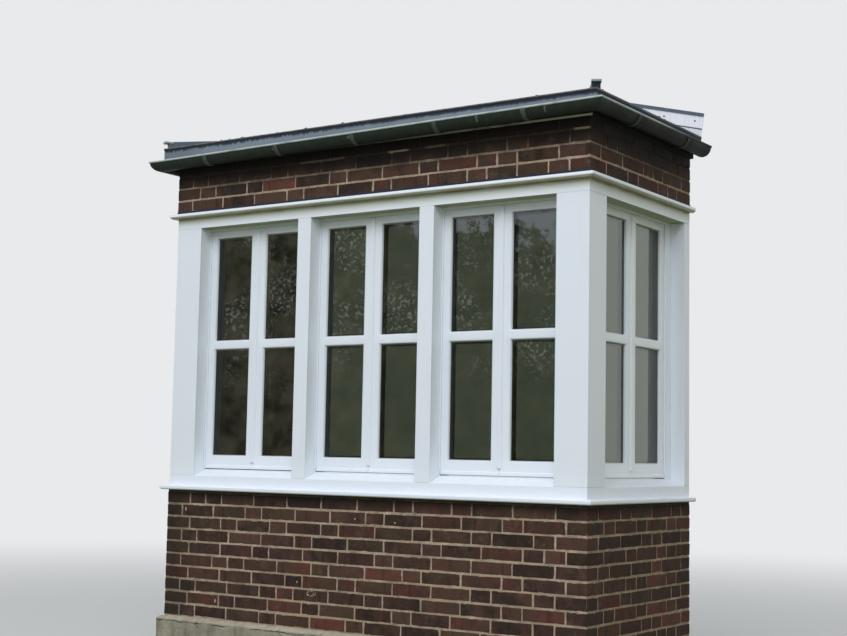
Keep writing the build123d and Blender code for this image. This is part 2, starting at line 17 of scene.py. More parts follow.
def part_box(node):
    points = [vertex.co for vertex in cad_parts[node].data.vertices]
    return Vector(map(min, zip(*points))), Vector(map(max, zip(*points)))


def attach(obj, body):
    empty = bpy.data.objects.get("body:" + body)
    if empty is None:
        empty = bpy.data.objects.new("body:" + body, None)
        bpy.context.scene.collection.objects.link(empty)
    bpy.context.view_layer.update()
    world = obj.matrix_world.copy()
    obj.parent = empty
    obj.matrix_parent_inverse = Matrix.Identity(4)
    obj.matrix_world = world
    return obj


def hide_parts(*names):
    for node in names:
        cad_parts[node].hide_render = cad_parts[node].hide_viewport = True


bl_info = {
    "name": "Bay window",
    "version": (1, 0, 0),
    "blender": (4, 5, 0),
    "location": "3D View > Sidebar > Bay window",
    "description": "Dresses the bay window with masonry, joinery, glass, zinc and a plain studio",
    "category": "Object",
}

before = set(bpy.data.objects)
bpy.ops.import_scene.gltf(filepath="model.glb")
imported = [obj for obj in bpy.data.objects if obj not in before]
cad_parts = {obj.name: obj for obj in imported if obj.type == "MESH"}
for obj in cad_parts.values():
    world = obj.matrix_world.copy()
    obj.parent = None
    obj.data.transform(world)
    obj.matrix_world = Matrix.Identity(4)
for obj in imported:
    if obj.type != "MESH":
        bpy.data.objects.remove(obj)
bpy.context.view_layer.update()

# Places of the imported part
HALF_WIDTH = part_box("apron_front")[1].x
FACE_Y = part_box("apron_front")[0].y
BACK_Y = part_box("apron_left")[1].y
WALL = HALF_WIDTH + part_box("apron_left")[1].x
PLINTH_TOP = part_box("apron_front")[0].z
SILL_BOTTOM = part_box("sill_front")[0].z
CAP_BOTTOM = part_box("cap_moulding")[0].z
CAP_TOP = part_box("cap_moulding")[1].z
BAND_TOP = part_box("band_front")[1].z
FRIEZE_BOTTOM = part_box("frieze_board")[0].z
DECK_LOW, DECK_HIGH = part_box("roof_deck")
FLASHING_LOW, FLASHING_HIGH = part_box("wall_flashing")
SHEET_LOW, SHEET_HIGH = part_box("roof_sheet")

# The brick face seen from above: points of the plan and the way out of the building there
PLAN = (
    (Vector((-HALF_WIDTH, BACK_Y)), Vector((-1, 0))),
    (Vector((-HALF_WIDTH, FACE_Y)), Vector((-1, -1))),
    (Vector((HALF_WIDTH, FACE_Y)), Vector((1, -1))),
    (Vector((HALF_WIDTH, BACK_Y)), Vector((1, 0))),
)

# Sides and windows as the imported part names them
SIDES = ("front", "left", "right")
WINDOWS = ("window_1", "window_2", "window_3", "side_left", "side_right")

# Points nearer than this are one, and angles at which an edge is flat, sharp or shaded smooth
WELD = 0.00005
FLAT = math.radians(1)
SHARP = math.radians(20)
SMOOTH = math.radians(50)


def screen(red, green, blue):
    """A colour picked on a screen, 0 to 255, as scene-linear values."""
    return tuple(
        value / 12.92 if value <= 0.04045 else ((value + 0.055) / 1.055) ** 2.4
        for value in (red / 255, green / 255, blue / 255)
    )


# Settings


def length(name, default, description):
    """A size in metres."""
    return FloatProperty(
        name=name, description=description, default=default, min=0.0, precision=4, unit="LENGTH"
    )


def colour(name, default, description, top=1.0):
    """A finish colour, or a light colour where top is above one."""
    return FloatVectorProperty(
        name=name, description=description, default=default, size=3, min=0.0, max=top, subtype="COLOR"
    )


class MasonrySettings(bpy.types.PropertyGroup):
    """Bricks, joints and the plinth."""

    module: length("Module", 0.130, "Header length with one joint")
    perpend: length("Perpend", 0.010, "Width of an upright joint")
    course: length("Course", 0.077, "Height of a course with one bed joint")
    bed: length("Bed joint", 0.012, "Height of a bed joint")
    depth: length("Brick depth", 0.120, "Depth of a stretcher behind the face")
    recess: length("Joint recess", 0.0026, "Mortar face behind the brick face")
    arris: length("Arris", 0.0036, "Rounding of a brick's edges")
    play: length("Play", 0.0014, "How far a brick may stand off its place")
    seed: IntProperty(name="Seed", description="Seed of the brick tones and places", default=11)
    dark: colour("Dark brick", screen(52, 41, 36), "Hard-burnt brick")
    middle: colour("Brick", screen(77, 57, 48), "Most of the bricks")
    red: colour("Red brick", screen(98, 59, 52), "Softer-burnt brick")
    olive: colour("Olive brick", screen(79, 66, 53), "Brick with a yellow-brown skin")
    mortar: colour("Mortar", screen(196, 176, 158), "Buff mortar")
    # Sooty blackening under the gutter, partly painted shade, and a painted shadow under the sill
    soot_and_shade: colour("Soot", screen(17, 16, 14), "Blackening under the gutter")
    felt: colour("Felt", screen(40, 46, 68), "Bitumen felt over the cap")
    felt_height: length("Felt height", 0.0205, "Edge of the felt above the cap")
    concrete: colour("Concrete", screen(168, 163, 147), "Weathered plinth")


class TimberSettings(bpy.types.PropertyGroup):
    """Painted joinery and the bare timber of the roof."""

    arris: length("Eased edge", 0.0022, "Rounding of the outer joinery")
    leaf_depth: length("Leaf thickness", 0.056, "Thickness of a window leaf")
    leaf_gap: length("Leaf gap", 0.0014, "Open line between the two leaves of a window")
    pane_chamfer: length("Pane chamfer", 0.009, "Sloped edge round each pane")
    paint: colour("Paint", screen(228, 235, 246), "White gloss paint")
    # Painted shade: a green tint of bounced light under ledges and on the fascia under the cap
    green_shade: colour("Algae", screen(150, 155, 98), "Green film under ledges")
    rust: colour("Rust stain", screen(150, 122, 82), "Brown stain under the cap")
    frieze: colour("Frieze board", screen(24, 24, 20), "Dark stain behind the gutter")
    lip: colour("Frieze lip", screen(240, 234, 246), "Bare lower edge of the frieze board")
    bare: colour("Bare timber", screen(172, 140, 98), "Sawn softwood of the roof")


class GlassSettings(bpy.types.PropertyGroup):
    """Double glazing."""

    sheet: length("Sheet", 0.004, "Thickness of one sheet of glass")
    spacer: length("Spacer", 0.007, "Height of the spacer bar that shows round a pane")
    tint: colour("Tint", screen(117, 121, 111), "Colour that a sheet of glass lets through")


class ZincSettings(bpy.types.PropertyGroup):
    """Roof sheet, flashing and gutter."""

    seam_height: length("Seam height", 0.020, "Standing seam above the roof sheet")
    seam_width: length("Seam width", 0.009, "Thickness of a standing seam")
    bay: length("Bay", 0.590, "Distance between standing seams")
    side_run: length("Side run", 0.800, "How far the side slopes run in towards the ridge")
    deck: length("Deck", 0.028, "Thickness of the roof deck")
    gutter_centre: length("Gutter centre", 0.079, "Middle of the gutter out of the brick face")
    gutter_radius: length("Gutter radius", 0.055, "Half the outer width of the gutter")
    gutter_depth: length("Gutter depth", 0.058, "Outer depth of the gutter below its rim")
    gutter_rim: length("Gutter rim", 3.280, "Height of the rim in the middle of the front")
    gutter_fall: length("Gutter fall", 0.028, "Right corner of the gutter above its left corner")
    flashing_cap: length("Flashing cap", 0.018, "Height of the flashing's cap strip")
    lap: length("Flashing lap", 0.049, "Lower edge of the upper flashing above the roof sheet")
    fixing_pitch: length("Fixing pitch", 0.204, "Distance between the flashing's fixings")
    roof: colour("Roof sheet", screen(104, 114, 122), "Weathered zinc")
    strip: colour("Eaves strip", screen(130, 145, 158), "Zinc strip over the gutter")
    bright: colour("Flashing", screen(238, 241, 251), "New zinc on the building's wall")
    dark: colour("Gutter", screen(44, 51, 44), "Old zinc of the gutter")
    # Worn bright rolled edge, lighter also as a painted highlight
    bead: colour("Gutter bead", screen(186, 194, 194), "Rolled edge of the gutter, worn bright")
    strap: colour("Straps", screen(84, 93, 86), "Gutter straps")
    # Drips, and painted shade under the roof edge
    drips_and_shade: colour("Wet zinc", screen(24, 30, 44), "Drips from the roof edge")
    # Worn fold, lighter also as a painted highlight
    fold: colour("Roof fold", screen(128, 126, 120), "Upper fold of the roof sheet's edge")


class RoomSettings(bpy.types.PropertyGroup):
    """Floor, plaster and fittings on the room side."""

    board_width: length("Board width", 0.120, "Floorboard")
    board_depth: length("Board thickness", 0.022, "Floorboard")
    board_gap: length("Board gap", 0.0015, "Gap between floorboards")
    board: colour("Floorboard", screen(158, 118, 76), "Oiled oak")
    plaster: colour("Plaster", screen(206, 208, 196), "Matt painted plaster")
    metal: colour("Fittings", screen(188, 190, 188), "Satin window handles and hinges")


class StageSettings(bpy.types.PropertyGroup):
    """Floor, light and camera."""

    floor: colour("Floor", screen(206, 207, 206), "Plain pale floor")
    bounce: colour("Bounce", (0.15, 0.17, 0.085), "What the floor sends back up to the bay")
    backdrop: colour("Backdrop", screen(232, 234, 236), "Plain pale backdrop")
    sky_low: colour("Low sky", (0.62, 0.64, 0.68), "Soft light from near the ground", 4.0)
    sky_high: colour("High sky", (1.26, 1.30, 1.37), "Soft light from above", 4.0)
    behind: FloatProperty(
        name="Light behind", description="Share of the soft light from behind the building's wall",
        default=0.30, min=0.0, max=1.0, subtype="FACTOR",
    )
    mirror_low: colour("Low mirror", (0.28, 0.27, 0.19), "What panes mirror near the ground")
    mirror_glint: colour("Glints", (2.30, 2.40, 2.45), "Small glints near the ground", 4.0)
    mirror_sky: colour("Mirrored sky", (2.05, 2.18, 2.60), "What panes mirror just over the dark", 4.0)
    mirror_high: colour("High mirror", (0.60, 0.62, 0.66), "What panes and metal mirror elsewhere", 4.0)
    mirror_side: colour("Side mirror", (1.26, 1.34, 1.29), "What the side panes mirror", 4.0)
    mirror_edge: FloatProperty(
        name="Mirror edge", description="Slope up to which panes mirror the dark", default=0.150, min=0.0
    )
    sky_right: colour("Right sky", (0.89, 0.865, 0.78), "Tint of the soft light from the right", 4.0)
    lamp_place: FloatVectorProperty(
        name="Lamp place", description="Middle of the soft light", size=3,
        default=(5.5, -13.5, 14.0), unit="LENGTH",
    )
    lamp_power: FloatProperty(
        name="Lamp power", description="Power of the soft light", default=1600.0, min=0.0, unit="POWER"
    )
    eye: FloatVectorProperty(
        name="Camera place", description="Where the camera stands", size=3,
        default=(5.0243, FACE_Y - 6.7207, 1.4187), unit="LENGTH",
    )
    heading: FloatProperty(
        name="Heading", description="Camera turned from +Y towards -X",
        default=math.radians(34.296), unit="ROTATION",
    )
    tilt: FloatProperty(
        name="Tilt", description="Camera tilted up", default=math.radians(5.441), unit="ROTATION"
    )
    roll: FloatProperty(
        name="Roll", description="Camera turned about its own axis",
        default=math.radians(1.073), unit="ROTATION",
    )
    lens: FloatProperty(
        name="Lens", description="Focal length in millimetres on a 36 mm sensor", default=61.51, min=1
    )


SETTINGS = {
    "bay_masonry": MasonrySettings,
    "bay_timber": TimberSettings,
    "bay_glass": GlassSettings,
    "bay_zinc": ZincSettings,
    "bay_room": RoomSettings,
    "bay_stage": StageSettings,
}


def settings(name):
    """One group of settings of this scene."""
    return getattr(bpy.context.scene, f"bay_{name}")


# Shader trees


def scaled(share, values):
    """Each of the values times the same share."""
    return tuple(share * value for value in values)


class Tree:
    """Places and links the nodes of one shader tree."""

    def __init__(self, nodes, links):
        self.nodes = nodes
        self.links = links

    def give(self, socket, value):
        """Link a socket, or set it to a constant; colours get their fourth number."""
        if isinstance(value, bpy.types.NodeSocket):
            self.links.new(value, socket)
        elif socket.type == "RGBA" and len(value) == 3:
            socket.default_value = (*value, 1.0)
        else:
            socket.default_value = value

    def put(self, kind, sockets=None, **options):
        """Place a node; sockets are set to constants or linked from other nodes."""
        made = self.nodes.new(kind)
        for name, value in options.items():
            setattr(made, name, value)
        for name, value in (sockets or {}).items():
            self.give(made.inputs[name], value)
        return made

    def effect(self, group, **sockets):
        """Place a shared effect."""
        return self.put("ShaderNodeGroup", sockets, node_tree=group).outputs

    def mix(self, amount, below, above, way="MIX"):
        """Mix two colours."""
        return self.put(
            "ShaderNodeMix", {0: amount, 6: below, 7: above},
            data_type="RGBA", blend_type=way, clamp_factor=True,
        ).outputs[2]

    def stain(self, below, above, *shares):
        """Lay a colour over another by the product of the shares."""
        return self.mix(self.times(*shares), below, above)

    def math(self, operation, first, second=0.0, clamp=False):
        """One sum on two values."""
        return self.put(
            "ShaderNodeMath", {0: first, 1: second}, operation=operation, use_clamp=clamp
        ).outputs[0]

    def times(self, first, *others):
        """The product of the values."""
        for other in others:
            first = self.math("MULTIPLY", first, other)
        return first

    def plus(self, first, *others):
        """The sum of the values."""
        for other in others:
            first = self.math("ADD", first, other)
        return first

    def minus(self, first, second):
        """The first value less the second."""
        return self.math("SUBTRACT", first, second)

    def off(self, first, second=0.0):
        """How far two values lie apart."""
        return self.math("ABSOLUTE", self.minus(first, second) if second else first)

    def ramp(self, value, low, high, to_low=0.0, to_high=1.0):
        """Smooth step of a value between two limits."""
        return self.put(
            "ShaderNodeMapRange",
            {"Value": value, "From Min": low, "From Max": high, "To Min": to_low, "To Max": to_high},
            interpolation_type="SMOOTHSTEP",
        ).outputs[0]

    def dot(self, first, second):
        """How far two directions agree."""
        return self.put(
            "ShaderNodeVectorMath", {0: first, 1: second}, operation="DOT_PRODUCT"
        ).outputs["Value"]

    def dim(self, light, share):
        """A colour or vector times a value."""
        return self.put(
            "ShaderNodeVectorMath", {0: light, "Scale": share}, operation="SCALE"
        ).outputs[0]

    def tone(self):
        """Three numbers that each brick or board has for itself."""
        return self.put("ShaderNodeAttribute", None, attribute_name="tone").outputs["Vector"]

    def place(self):
        """Where a point of the surface is, in the part's own frame."""
        return self.put("ShaderNodeTexCoord").outputs["Object"]

    def facing(self):
        """Which way the surface looks."""
        return self.put("ShaderNodeNewGeometry").outputs["Normal"]

    def parts(self, vector=None):
        """The X, Y and Z of a vector, or else of the place."""
        if vector is None:
            vector = self.place()
        return self.put("ShaderNodeSeparateXYZ", {0: vector}).outputs

    def reach(self):
        """How far out of the brick face a point is, on the nearest of the three sides."""
        parts = self.parts()
        sideways = self.minus(self.off(parts["X"]), HALF_WIDTH)
        return self.math("MAXIMUM", sideways, self.minus(FACE_Y, parts["Y"]))

    def cloud(self, scale, detail=3.0, roughness=0.55, distortion=0.0, where=None):
        """Noise as one value; three scales stretch it along the axes."""
        if where is None:
            where = self.place()
        if isinstance(scale, tuple):
            where = self.put("ShaderNodeMapping", {"Vector": where, "Scale": scale}).outputs[0]
            scale = 1.0
        return self.put(
            "ShaderNodeTexNoise",
            {
                "Vector": where, "Scale": scale, "Detail": detail,
                "Roughness": roughness, "Distortion": distortion,
            },
        ).outputs["Fac"]

    def bump(self, height, depth, strength=1.0):
        """Surface relief; depth is in metres."""
        sockets = {"Height": height, "Distance": depth, "Strength": strength}
        return self.put("ShaderNodeBump", sockets).outputs[0]


def shared_effect(name, **inputs):
    """Make a node group, once, of a function that lays out its nodes and returns its masks."""
    def keep(lay_out):
        @functools.cache
        @functools.wraps(lay_out)
        def make():
            group = bpy.data.node_groups.new(name, "ShaderNodeTree")
            add = functools.partial(group.interface.new_socket, socket_type="NodeSocketFloat")
            for label, default in inputs.items():
                add(name=label, in_out="INPUT").default_value = default
            tree = Tree(group.nodes, group.links)
            wanted = lay_out(tree, tree.put("NodeGroupInput").outputs)
            for label in wanted:
                add(name=label, in_out="OUTPUT")
            tree.put("NodeGroupOutput", wanted)
            return group
        return make
    return keep


@shared_effect("Mottle", Coarse=4.0, Fine=30.0, Contrast=1.5)
def mottle(tree, given):
    """Uneven patches: a coarse and a fine noise with more or less contrast."""
    coarse = tree.cloud(given["Coarse"], 4.0, 0.6)
    fine = tree.cloud(given["Fine"], 3.0, 0.6)
    joined = tree.plus(tree.times(coarse, 0.62), tree.times(fine, 0.38))
    centred = tree.times(tree.minus(joined, 0.5), given["Contrast"])
    return {"Mask": tree.math("ADD", centred, 0.5, clamp=True)}


@shared_effect("Rain streaks", Spacing=14.0, Stretch=0.05, Threshold=0.5)
def rain_streaks(tree, given):
    """Upright streaks that water leaves, with ragged lengths."""
    spacing, threshold = given["Spacing"], given["Threshold"]
    upright = tree.times(spacing, given["Stretch"])
    squeeze = tree.put("ShaderNodeCombineXYZ", {"X": spacing, "Y": spacing, "Z": upright}).outputs[0]
    where = tree.put(
        "ShaderNodeVectorMath", {0: tree.place(), 1: squeeze}, operation="MULTIPLY"
    ).outputs[0]
    lines = tree.cloud(1.0, 3.0, 0.6, where=where)
    return {"Mask": tree.ramp(lines, threshold, tree.plus(threshold, 0.22))}


# A ragged height ramp: a stain at the plinth's foot, and painted shade and shadow on the masonry
@shared_effect("Rising ramp", Start=0.0, Full=1.0, Ragged=0.1)
def rising_ramp(tree, given):
    """Grows from none at one height to full at another, with a ragged edge."""
    ragged = tree.minus(tree.cloud(5.0, 5.0, 0.65), 0.5)
    moved = tree.plus(tree.parts()["Z"], tree.times(ragged, given["Ragged"]))
    way = tree.minus(given["Full"], given["Start"])
    part = tree.math("DIVIDE", tree.minus(moved, given["Start"]), way, clamp=True)
    return {"Mask": tree.ramp(part, 0.0, 1.0)}


@shared_effect("Ledge dust and shade", Scale=24.0)
def ledge_dust_and_shade(tree, given):
    """Dirt that settles on faces that look up, and painted shade on faces that look down."""
    upward = tree.parts(tree.facing())["Z"]
    uneven = tree.ramp(tree.cloud(given["Scale"], 4.0, 0.65), 0.3, 0.7)
    top = tree.times(tree.ramp(upward, 0.45, 0.95), uneven)
    # Top is dust; the mask of faces that look down is for painted shade
    return {"Top": top, "Underside": tree.ramp(tree.times(upward, -1.0), 0.8, 0.98)}


@shared_effect("Sanded grain", Grit=700.0, Pits=90.0, Waves=12.0)
def sanded_grain(tree, given):
    """Relief of sand, grit and trowel marks."""
    grit = tree.cloud(given["Grit"], 2.0, 0.7)
    pits = tree.cloud(given["Pits"], 4.0, 0.65)
    waves = tree.cloud(given["Waves"], 3.0, 0.5)
    height = tree.plus(tree.times(grit, 0.25), tree.times(pits, 0.75), tree.times(waves, 1.6))
    return {"Height": height, "Specks": tree.ramp(pits, 0.56, 0.68)}


@shared_effect("Worn arris", Radius=0.004, Patches=18.0)
def worn_arris(tree, given):
    """Where an edge has lost its sharp arris: the shading normal of a rounded edge against the face."""
    rounded = tree.put("ShaderNodeBevel", {"Radius": given["Radius"]}, samples=4).outputs[0]
    edge = tree.ramp(tree.dot(rounded, tree.facing()), 0.98, 0.8)
    patches = tree.ramp(tree.cloud(given["Patches"], 4.0, 0.7), 0.45, 0.6)
    return {"Mask": tree.times(edge, patches)}


@shared_effect("Corner dirt and shade", Reach=0.02, Patches=20.0)
def corner_dirt_and_shade(tree, given):
    """Dirt and painted shade where surfaces meet, in uneven patches."""
    openness = tree.put(
        "ShaderNodeAmbientOcclusion", {"Distance": given["Reach"]}, samples=4
    ).outputs["AO"]
    patches = tree.ramp(tree.cloud(given["Patches"], 4.0, 0.7), 0.36, 0.62, 0.25, 1.0)
    closed = tree.ramp(tree.minus(1.0, openness), 0.42, 0.85)
    return {"Mask": tree.times(closed, patches)}


def mottled(tree, coarse, fine, contrast):
    """Mask of the mottle effect."""
    return tree.effect(mottle(), Coarse=coarse, Fine=fine, Contrast=contrast)["Mask"]


def streaked(tree, spacing, stretch, threshold):
    """Mask of the rain streaks."""
    return tree.effect(rain_streaks(), Spacing=spacing, Stretch=stretch, Threshold=threshold)["Mask"]


def stained(tree, start, full, ragged):
    """Mask of the rising ramp: a stain at the plinth's foot, and painted shade under the gutter and the
    sill.
    """
    return tree.effect(rising_ramp(), Start=start, Full=full, Ragged=ragged)["Mask"]


def sanded(tree, grit, pits, waves):
    """Height and specks of the sanded grain."""
    return tree.effect(sanded_grain(), Grit=grit, Pits=pits, Waves=waves)


def sandy(tree, patches, dark, pale, grain, rough, depth, strength=1.0):
    """Two tones in patches over sanded relief."""
    relief = sanded(tree, *grain)["Height"]
    return {
        "Base Color": tree.mix(patches, dark, pale), "Roughness": rough,
        "Normal": tree.bump(relief, depth, strength),
    }


def material(name):
    """A new material: its tree and its Principled shader."""
    made = bpy.data.materials.new(name)
    made.use_nodes = True
    tree = Tree(made.node_tree.nodes, made.node_tree.links)
    return made, tree, made.node_tree.nodes["Principled BSDF"]


def finish(name):
    """Make a material, once, of a function that lays out its nodes and returns the shader's inputs."""
    def keep(lay_out):
        @functools.cache
        @functools.wraps(lay_out)
        def make():
            made, tree, shader = material(name)
            for label, value in lay_out(tree).items():
                tree.give(shader.inputs[label], value)
            return made
        return make
    return keep


# Lengths of the band's top bed joint that stay clean through the blackening and painted shade: middle,
# half length and share
POINTED_SPANS = ((-0.32, 0.15, 0.34), (0.24, 0.05, 0.95), (0.50, 0.05, 0.3), (1.44, 0.030, 0.8))


@finish("Clinker brick")
def brick_finish(tree):
    """Dark clinker bricks, each with its own tone, firing marks and patches of red or olive skin."""
    sizes = settings("masonry")
    tone = tree.tone()
    tones = tree.parts(tone)
    own = tree.put(
        "ShaderNodeVectorMath", {0: tone, 1: (41.0, 37.0, 43.0), 2: tree.place()},
        operation="MULTIPLY_ADD",
    ).outputs[0]
    fire = tree.minus(tree.cloud(10.0, 4.0, 0.6, 0.4, where=own), 0.5)
    redness = tree.math("ADD", tones["Y"], tree.times(fire, 1.9), clamp=True)
    base = tree.mix(tree.ramp(redness, 0.0, 0.5), sizes.dark, sizes.middle)
    base = tree.mix(tree.ramp(redness, 0.54, 1.08), base, sizes.red)
    skin = tree.plus(tones["Z"], tree.times(tree.cloud(7.0, 3.0, 0.6, where=own), 0.8))
    base = tree.mix(tree.ramp(skin, 1.12, 1.42, 0.0, 0.48), base, sizes.olive)
    plum = tree.minus(tree.cloud(16.0, 3.0, 0.6, where=own), tree.times(tones["Z"], 0.25))
    base = tree.mix(tree.ramp(plum, 0.36, 0.60, 0.0, 0.6), base, screen(66, 48, 50))
    light = tree.plus(0.74, tree.times(tones["X"], 0.5))
    grey = tree.put("ShaderNodeCombineColor", {0: light, 1: light, 2: light}).outputs[0]
    base = tree.mix(1.0, base, grey, "MULTIPLY")
    burns = tree.cloud((24, 24, 3), 3.0, 0.6, where=own)
    base = tree.mix(tree.ramp(burns, 0.54, 0.70, 0.0, 0.5), base, screen(36, 28, 26))
    creases = tree.cloud((30, 30, 150), 4.0, 0.6)
    base = tree.mix(tree.ramp(creases, 0.55, 0.75, 0.0, 0.22), base, screen(104, 88, 76))
    flecks = tree.ramp(tree.cloud(150.0, 3.0, 0.7), 0.60, 0.70)
    base = tree.stain(base, screen(22, 17, 14), flecks, 0.75)
    smears = tree.ramp(tree.cloud(9.0, 5.0, 0.7), 0.50, 0.70)
    grains = tree.ramp(tree.cloud(130.0, 4.0, 0.7), 0.45, 0.62)
    base = tree.stain(base, screen(134, 120, 102), smears, grains, 0.34)
    # Sooty blackening and painted shade under the gutter, and a painted shadow under the sill
    base = tree.stain(base, sizes.soot_and_shade, soot_and_shade_mask(tree), 0.9)
    base = tree.stain(base, screen(36, 33, 28), damp_mask(tree), 0.6)
    relief = sanded(tree, 620.0, 120.0, 26.0)["Height"]
    normal = tree.bump(tree.plus(relief, tree.times(creases, 1.1)), 0.0018, 0.95)
    rough = tree.ramp(fire, -0.3, 0.3, 0.72, 0.92)
    return {"Base Color": base, "Roughness": rough, "Normal": normal, "Specular IOR Level": 0.14}


def soot_and_shade_mask(tree, lower=0.0):
    """Blackening of the band under the gutter, partly painted shade, most towards its middle, and a
    painted shadow right under the sill.
    """
    parts = tree.parts()
    middle = tree.ramp(tree.off(tree.plus(parts["X"], 0.35)), 1.7, 0.5)
    on_side = tree.ramp(parts["Y"], FACE_Y + 0.01, FACE_Y + 0.2)
    start = tree.minus(BAND_TOP - 0.19 - lower, tree.times(tree.plus(middle, on_side), 0.02))
    # Sooty blackening and painted shade below the gutter
    upper = stained(tree, start, tree.plus(start, 0.12), 0.13)
    # Painted shadow right under the sill
    sill_shadow = stained(tree, SILL_BOTTOM - 0.085, SILL_BOTTOM - 0.004, 0.06)
    is_apron = tree.ramp(parts["Z"], SILL_BOTTOM + 0.05, SILL_BOTTOM)
    below = tree.times(sill_shadow, is_apron, 0.86)
    is_band = tree.ramp(parts["Z"], SILL_BOTTOM + 0.1, SILL_BOTTOM + 0.2)
    return tree.math("MAXIMUM", tree.times(upper, is_band), below)


def damp_mask(tree):
    """Damp and green growth at the left corner of the apron."""
    parts = tree.parts()
    ragged = tree.times(tree.minus(tree.cloud(4.0, 5.0, 0.7), 0.5), 0.35)
    corner = tree.ramp(tree.plus(parts["X"], HALF_WIDTH, ragged), 0.24, 0.06)
    return tree.times(corner, tree.ramp(parts["Z"], SILL_BOTTOM + 0.1, SILL_BOTTOM))


def fresh_mask(tree):
    """Lengths of the top bed joint that were pointed again and stay clean."""
    parts = tree.parts()
    off_bed = tree.off(parts["Z"], BAND_TOP - settings("masonry").course)
    clean = 0.0
    for middle, half, share in POINTED_SPANS:
        off = tree.off(parts["X"], middle)
        clean = tree.math("MAXIMUM", clean, tree.ramp(off, half + 0.035, half, 0.0, share))
    on_front = tree.ramp(parts["Y"], FACE_Y + 0.02, FACE_Y + 0.006)
    return tree.times(clean, on_front, tree.ramp(off_bed, 0.016, 0.004))


@finish("Mortar")
def mortar_finish(tree):
    """Buff sandy mortar, blackened where the bricks are."""
    sizes = settings("masonry")
    patches = mottled(tree, 13.0, 60.0, 3.4)
    base = tree.mix(patches, scaled(0.38, sizes.mortar), sizes.mortar)
    tint = tree.ramp(tree.cloud(3.1, 3.0, 0.6), 0.4, 0.6)
    base = tree.stain(base, screen(168, 150, 124), tint, 0.45)
    grain = sanded(tree, 900.0, 240.0, 30.0)
    base = tree.stain(base, screen(92, 82, 68), grain["Specks"], 0.5)
    # Sooty blackening and painted shade under the gutter, and a painted shadow under the sill, on the
    # joints
    base = tree.stain(base, sizes.soot_and_shade, soot_and_shade_mask(tree, 0.018), 0.93)
    base = tree.stain(base, screen(74, 80, 66), damp_mask(tree), 0.5)
    base = tree.stain(base, screen(158, 144, 124), fresh_mask(tree), 0.75)
    normal = tree.bump(grain["Height"], 0.003, 1.0)
    return {"Base Color": base, "Roughness": 0.95, "Normal": normal, "Specular IOR Level": 0.12}


@finish("Lime splashes")
def lime_finish(tree):
    """Splashes of lime mortar."""
    patches = mottled(tree, 60.0, 300.0, 2.0)
    dark, pale = screen(168, 160, 142), screen(214, 209, 196)
    return sandy(tree, patches, dark, pale, (900.0, 300.0, 60.0), 0.95, 0.001)


@finish("Plinth concrete")
def concrete_finish(tree):
    """Weathered grey-beige concrete, pale with pits on the sloped top and damp at the foot."""
    sizes = settings("masonry")
    patches = mottled(tree, 3.2, 38.0, 3.0)
    base = tree.mix(patches, scaled(0.56, sizes.concrete), sizes.concrete)
    grain = sanded(tree, 420.0, 70.0, 7.0)
    base = tree.stain(base, screen(84, 82, 70), grain["Specks"], 0.6)
    base = tree.stain(base, screen(84, 81, 70), streaked(tree, 16.0, 0.12, 0.48), 0.5)
    base = tree.stain(base, screen(78, 80, 62), stained(tree, 0.17, 0.0, 0.12), 0.6)
    height = tree.parts()["Z"]
    ledge = tree.ramp(height, PLINTH_TOP - 0.030, PLINTH_TOP - 0.014)
    grit = tree.ramp(tree.cloud(55.0, 4.0, 0.7), 0.34, 0.62, 0.3, 1.0)
    base = tree.stain(base, screen(182, 170, 152), ledge, grit, 0.60)
    pits = tree.ramp(tree.cloud(34.0, 5.0, 0.75), 0.57, 0.66)
    base = tree.stain(base, screen(88, 82, 68), ledge, pits, 0.6)
    wander = tree.times(tree.minus(tree.cloud(11.0, 4.0, 0.6), 0.5), 0.034)
    off_crack = tree.off(tree.plus(height, wander), PLINTH_TOP - 0.030)
    broken = tree.ramp(tree.cloud(6.0, 3.0, 0.6), 0.42, 0.54)
    crack = tree.times(tree.ramp(off_crack, 0.0042, 0.0012), broken)
    base = tree.stain(base, screen(48, 43, 36), crack, 0.75)
    normal = tree.bump(tree.minus(grain["Height"], crack), 0.004, 1.0)
    return {"Base Color": base, "Roughness": 0.94, "Normal": normal, "Specular IOR Level": 0.15}


